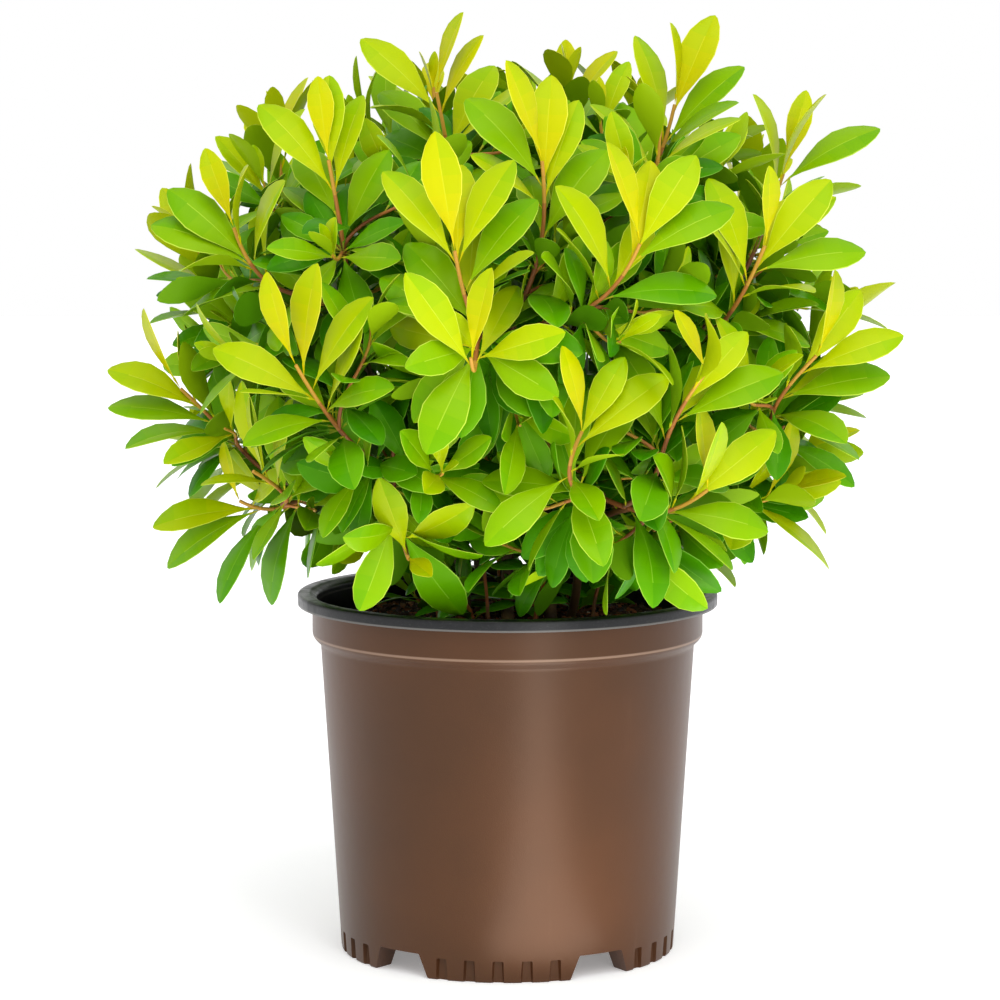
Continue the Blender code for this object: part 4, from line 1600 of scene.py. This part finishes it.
def leaf_form(age, kind, chance):
    length = chance.uniform(*LEAF_LENGTHS[kind])
    length *= mix(NEW_LEAF_SHARE, 1.0, min(age / FULL_LENGTH_AGE, 1.0))
    return LeafForm(
        length=length,
        width=length * mix(*SLENDER, min(1.3 * age, 1.0)) * chance.uniform(*WIDTH_SPREAD),
        fold=mix(*FOLDS, min(1.5 * age, 1.0)) + chance.uniform(-FOLD_SPREAD, FOLD_SPREAD),
        rounding=chance.uniform(*ROUNDINGS),
        bow=mix(*BOWS, age) + chance.uniform(*BOW_SPREAD),
        twist=chance.gauss(0.0, TWIST_SPREAD),
        sweep=chance.gauss(0.0, SWEEP_SPREAD),
    )


def leaf_stance(axis, out, angle, age, light):
    """The way a leaf runs and the way it faces. Young leaves rise, old ones turn to the light."""
    along = axis * math.cos(angle) + out * math.sin(angle)
    facing = axis * math.sin(angle) - out * math.cos(angle)
    along = (along + UP * (YOUNG_LIFT * (1.0 - age) ** 2)).normalized()
    facing = facing + light * (LIGHT_PULL * age)
    return along, (facing - along * facing.dot(along)).normalized()


def in_reach(points):
    """Leaves stay within a ragged skin, hang a little below the crown, and clear the pot."""
    ragged = 1.0 - RAGGED * (1.0 + noise.noise(Vector(points[-1]) * RAGGED_SCALE))
    for point in points:
        hang = LOW_SPREAD * smooth_step(CROWN_WAIST, POT_HEIGHT + LOW_SPREAD_START, point[2])
        setback = TOP_SETBACK * smooth_step(*SETBACK_HEIGHTS, point[2])
        if crown_fill(Vector(point)) > ragged + hang - setback:
            return False
        radius = math.hypot(point[0], point[1])
        over_mix = radius < COLLAR_RADIUS - MIX_MARGIN
        floor = SOIL_LEVEL + SOIL_MOUND + MIX_CLEARANCE if over_mix else POT_HEIGHT + RIM_CLEARANCE
        if point[2] < floor and radius < RIM_RADIUS + RIM_CLEARANCE:
            return False
        lowest = POT_HEIGHT - HANG * smooth_step(*HANG_PLACES, point[1])
        if point[2] < lowest and not over_mix:
            return False
    return True


def age_name(age, shade_of_crown, chance):
    """New, young, bright, full or deep, by the leaf's age and how shaded its shoot is."""
    value = AGE_STEPS * age**AGE_POWER + shade_of_crown + chance.uniform(-AGE_SPREAD, AGE_SPREAD)
    return AGE_NAMES[min(max(int(value), 0), len(AGE_NAMES) - 1)]


def shade_at(shoot):
    """0 for shoots in full light, and more for low and inner ones."""
    low = LOW_SHADE * smooth_step(*LOW_SHADE_RISES, math.degrees(rise_of(shoot.seat)))
    depth = 1.0 - crown_fill(shoot.seat, ROSETTE_INSET) ** (1.0 / CROWN_SQUARENESS)
    return low + DEPTH_SHADE * max(depth, 0.0) + SHADES_OF_KIND.get(shoot.kind, 0.0)


def sight_line(point):
    """From the camera through a point of the picture, counted from its upper left corner."""
    ahead = Vector((0.0, math.cos(CAMERA_PITCH), -math.sin(CAMERA_PITCH)))
    up = Vector((0.0, math.sin(CAMERA_PITCH), math.cos(CAMERA_PITCH)))
    right, down = point[0] - PICTURE_WIDTH / 2.0, point[1] - PICTURE_WIDTH / 2.0
    focus = CAMERA_LENS / SENSOR_WIDTH * PICTURE_WIDTH
    return (ahead * focus + Vector((right, 0.0, 0.0)) - up * down).normalized()


def sight_distance(place, point):
    """How far a place lies from the line of sight, and the nearest place on that line."""
    camera = Vector(CAMERA_PLACE)
    line = sight_line(point)
    nearest = camera + line * (place - camera).dot(line)
    return (place - nearest).length, nearest


def front_roots(shoot, point, age):
    """Where on its shoot a leaf may stand: by its age, unless its tip would be out of reach."""
    along = distances(shoot.path)

    def cost(index):
        back = along[-1] - along[index]
        seen, _ = sight_distance(shoot.path[index], point)
        return REACH_COST * max(seen - FRONT_REACH, 0.0) + abs(back - FRONT_BACK * age)

    choices = sorted(range(len(shoot.path) // 3, len(shoot.path)), key=cost)
    for index in choices[:FRONT_TRIES]:
        near, far = shoot.path[index - 1], shoot.path[index]
        yield far, (far - near).normalized().lerp(shoot.way, AXIS_SHARE).normalized()


def front_stances(root, axis, point, form, size, age, light):
    """Aims a leaf at its point of the picture, and scales it to its natural length.

    It can lean towards the viewer or away. The way that suits its age comes first.
    """
    seen, nearest = sight_distance(root, point)
    if seen > LONGEST_LEAF:
        return
    length = min(max(form.length * size, seen * LEAST_STRETCH), LONGEST_LEAF)
    form.width *= length / form.length
    form.length = length
    away = math.sqrt(max(length**2 - seen**2, 0.0))
    line = sight_line(point)
    wanted = math.radians(mix(*LEAF_ANGLES, age**ANGLE_POWER))
    ways = [(nearest + line * step - root).normalized() for step in (away, -away)]
    for along in sorted(ways, key=lambda way: abs(way.angle(axis) - wanted)):
        out = (along - axis * along.dot(axis)).normalized()
        angle = along.angle(axis)
        facing = axis * math.sin(angle) - out * math.cos(angle)
        facing = facing + light * FRONT_LIGHT_PULL - line * FRONT_VIEW_PULL
        facing = (facing - along * facing.dot(along)).normalized()
        raised = along * math.cos(form.bow / 2.0) + facing * math.sin(form.bow / 2.0)
        yield raised, (facing - raised * facing.dot(raised)).normalized()


class Foliage:
    """Grows the leaves of all shoots into one mesh for each age."""

    def __init__(self, shoots):
        self.shoots = shoots
        self.room = Room()
        self.meshes = {age: Scatter() for age in AGE_NAMES}
        self.counts = {"kept": 0, "left out": 0}
        self.set_leaves = {}
        self.missing = []
        self.front = Scatter()
        self.front_tree = None
        for number, shoot in enumerate(shoots):
            twigs_in_room(self.room, number, shoot)

    def grow(self, number, chance):
        """Fills a shoot with leaves."""
        shoot = self.shoots[number]
        count = LEAF_COUNTS[shoot.kind] - self.set_leaves.get(number, 0)
        spin = chance.uniform(0.0, math.tau)
        youngest = FRONT_FILL if number in self.set_leaves else 0.0
        for root, axis, age in leaf_roots(shoot, count, LEAFY_LENGTHS[shoot.kind]):
            spin += SPIRAL
            if age < youngest:
                continue
            self.keep(shoot, self.find_room(number, root, axis, age, spin, chance), age, chance)

    def keep(self, shoot, grown, age, chance):
        """Adds a grown leaf to the mesh of its age, in one of its shades."""
        if grown is None:
            self.counts["left out"] += 1
            return
        self.counts["kept"] += 1
        name = age_name(age, shade_at(shoot), chance)
        finishes = palettes[name].for_leaf(chance.randrange(SHADES))
        self.meshes[name].add(grown, leaf_faces, finishes)

    def set_front_leaves(self, number, tips, chance):
        """Sets the leaves of a shoot whose tips can be seen in the picture."""
        shoot = self.shoots[number]
        for index, point in enumerate(tips):
            age = mix(*FRONT_AGES, index / max(len(tips) - 1, 1))
            grown = self.leaf_to(number, point, age, chance)
            self.keep(shoot, grown, age, chance)
            if grown is None:
                self.missing.append(point)
        self.set_leaves[number] = len(tips)
        self.show_stem(shoot.path, SEEN_STEM)

    def show_stem(self, path, length):
        """Counts the last stretch of a stem among the things that the picture shows whole."""
        along = distances(path)
        seen = [place for place, gone in zip(path, along) if along[-1] - gone < length]
        bm, _ = tube(seen, [SEEN_STEM_RADIUS] * len(seen), 4)
        points, faces = as_arrays(bm)
        self.front.add(points, faces, [0] * len(faces))
        bm.free()

    def leaf_to(self, number, point, age, chance):
        """The points of a leaf whose tip shows at a point of the picture, if it finds room."""
        shoot = self.shoots[number]
        form = leaf_form(age, shoot.kind, chance)
        form.bow = mix(*FRONT_BOWS, age**FRONT_BOW_POWER)
        form.bow += chance.uniform(-FRONT_BOW_SPREAD, FRONT_BOW_SPREAD)
        form.twist, form.sweep = FRONT_TWIST * form.twist, 0.0
        for size, (root, axis) in itertools.product(FRONT_SIZES, front_roots(shoot, point, age)):
            for stance in front_stances(root, axis, point, form, size, age, shoot.light):
                coarse = placed(bent(form, coarse_shares), root, *stance)
                tree = BVHTree.FromPolygons(coarse.tolist(), coarse_quads)
                middle = coarse.mean(axis=0)
                if not self.room.touched(middle, tree):
                    self.room.add(middle, tree, number)
                    self.front.add(coarse, coarse_quads, [0] * len(coarse_quads))
                    return placed(bent(form, leaf_shares), root, *stance)
        return None

    def close_front(self):
        """From now on no leaf may hide more than a little of those that the picture shows whole."""
        points = np.concatenate(self.front.points).tolist()
        self.front_tree = BVHTree.FromPolygons(points, self.front.faces)

    def covers_front(self, points):
        """Whether a leaf hides more than a little of those that the picture shows whole."""
        if points[:, 1].min() > 0.0:
            return False
        covered = 0
        for point in points:
            place = Vector(point)
            away = (place - Vector(CAMERA_PLACE)).normalized()
            if self.front_tree.ray_cast(place, away, COVER_REACH)[0]:
                covered += 1
        return covered > COVER_ALLOWED

    def find_room(self, number, root, axis, age, spin, chance):
        """The points of the leaf in the first stance that has room."""
        wanted = mix(*LEAF_ANGLES, age**ANGLE_POWER)
        wanted += chance.uniform(-ANGLE_SPREAD, ANGLE_SPREAD)
        form = leaf_form(age, self.shoots[number].kind, chance)
        length, width = form.length, form.width
        side = axis.orthogonal().normalized()
        for size in SIZES:
            form.length, form.width = length * size, width * size
            for swing, close in SWINGS:
                out = Matrix.Rotation(spin + math.radians(swing), 3, axis) @ side
                angle = math.radians(max(wanted - close, LEAST_ANGLE))
                stance = leaf_stance(axis, out, angle, age, self.shoots[number].light)
                coarse = placed(bent(form, coarse_shares), root, *stance)
                if not in_reach(coarse):
                    continue
                tree = BVHTree.FromPolygons(coarse.tolist(), coarse_quads)
                middle = coarse.mean(axis=0)
                if self.room.touched(middle, tree) or self.covers_front(coarse):
                    continue
                self.room.add(middle, tree, number)
                return placed(bent(form, leaf_shares), root, *stance)
        return None


foliage = Foliage(shoots)
chance = random.Random(LEAF_SEED)
numbers = {tuple(shoot.seat): number for number, shoot in enumerate(shoots)}
for seat, tips in zip(main_seats, FRONT_LEAVES):
    foliage.set_front_leaves(numbers[tuple(seat)], tips, chance)
foliage.show_stem(shoots[-1].path, 1.0)
foliage.close_front()
print("front leaves:", foliage.counts, "missing:", foliage.missing)
for number, shoot in enumerate(shoots):
    if LEAF_COUNTS[shoot.kind]:
        foliage.grow(number, chance)
print("leaves:", foliage.counts)

# %% [markdown]
# The leaves of each age become one piece. Together they and the twigs stand for the masses of
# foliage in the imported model, which are coarser.

# %% Leaf pieces
foliage_nodes = [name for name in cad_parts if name.startswith("foliage_")]
for age, scatter in foliage.meshes.items():
    if scatter.count:
        name = f"leaves_{age}"
        finish_piece(name, scatter.mesh(name), palettes[age].finishes,
                     foliage_nodes, 70.0)

# %% [markdown]
# Twigs are orange-brown and smooth at the tip, then reddish, then olive-brown where they are
# oldest. Each stretch takes its plain shade by its distance from the tip.

# %% Twig piece
TWIG_SIDES = 7
TWIG_SHADES = ((0.022, (204, 150, 50)), (0.050, (182, 112, 46)), (0.085, (150, 86, 42)),
               (0.130, (120, 78, 42)), (9.0, (96, 72, 40)))
TWIG_WEAR = {"bare": 0.085, "basal": 0.03}
TWIG_JOINTS = 0.08
TWIG_GRAIN = 260.0


def twig_relief(index, place):
    return 1.0 + TWIG_JOINTS * noise.noise(place * TWIG_GRAIN)


def twig_shade(back):
    """The number of the shade of a stretch that lies so far back from the tip."""
    return next(number for number, (limit, shade) in enumerate(TWIG_SHADES) if back < limit)


def make_twigs():
    scatter = Scatter()
    for shoot in shoots:
        bm, rings = tube(shoot.path, shoot.radii, TWIG_SIDES, twig_relief)
        along = distances(shoot.path)
        back = {vert: along[-1] - along[index] for index, ring in enumerate(rings) for vert in ring}
        worn = TWIG_WEAR.get(shoot.kind, 0.0)
        shades = [twig_shade(worn + min(back[vert] for vert in face.verts)) for face in bm.faces]
        scatter.add(*as_arrays(bm), shades)
        bm.free()
    return scatter.mesh("twigs")


twig_finishes = [Finish(f"twig_{number}", colour(*shade), 0.55).material
                 for number, (limit, shade) in enumerate(TWIG_SHADES)]
finish_piece("twigs", make_twigs(), twig_finishes, foliage_nodes, 60.0)
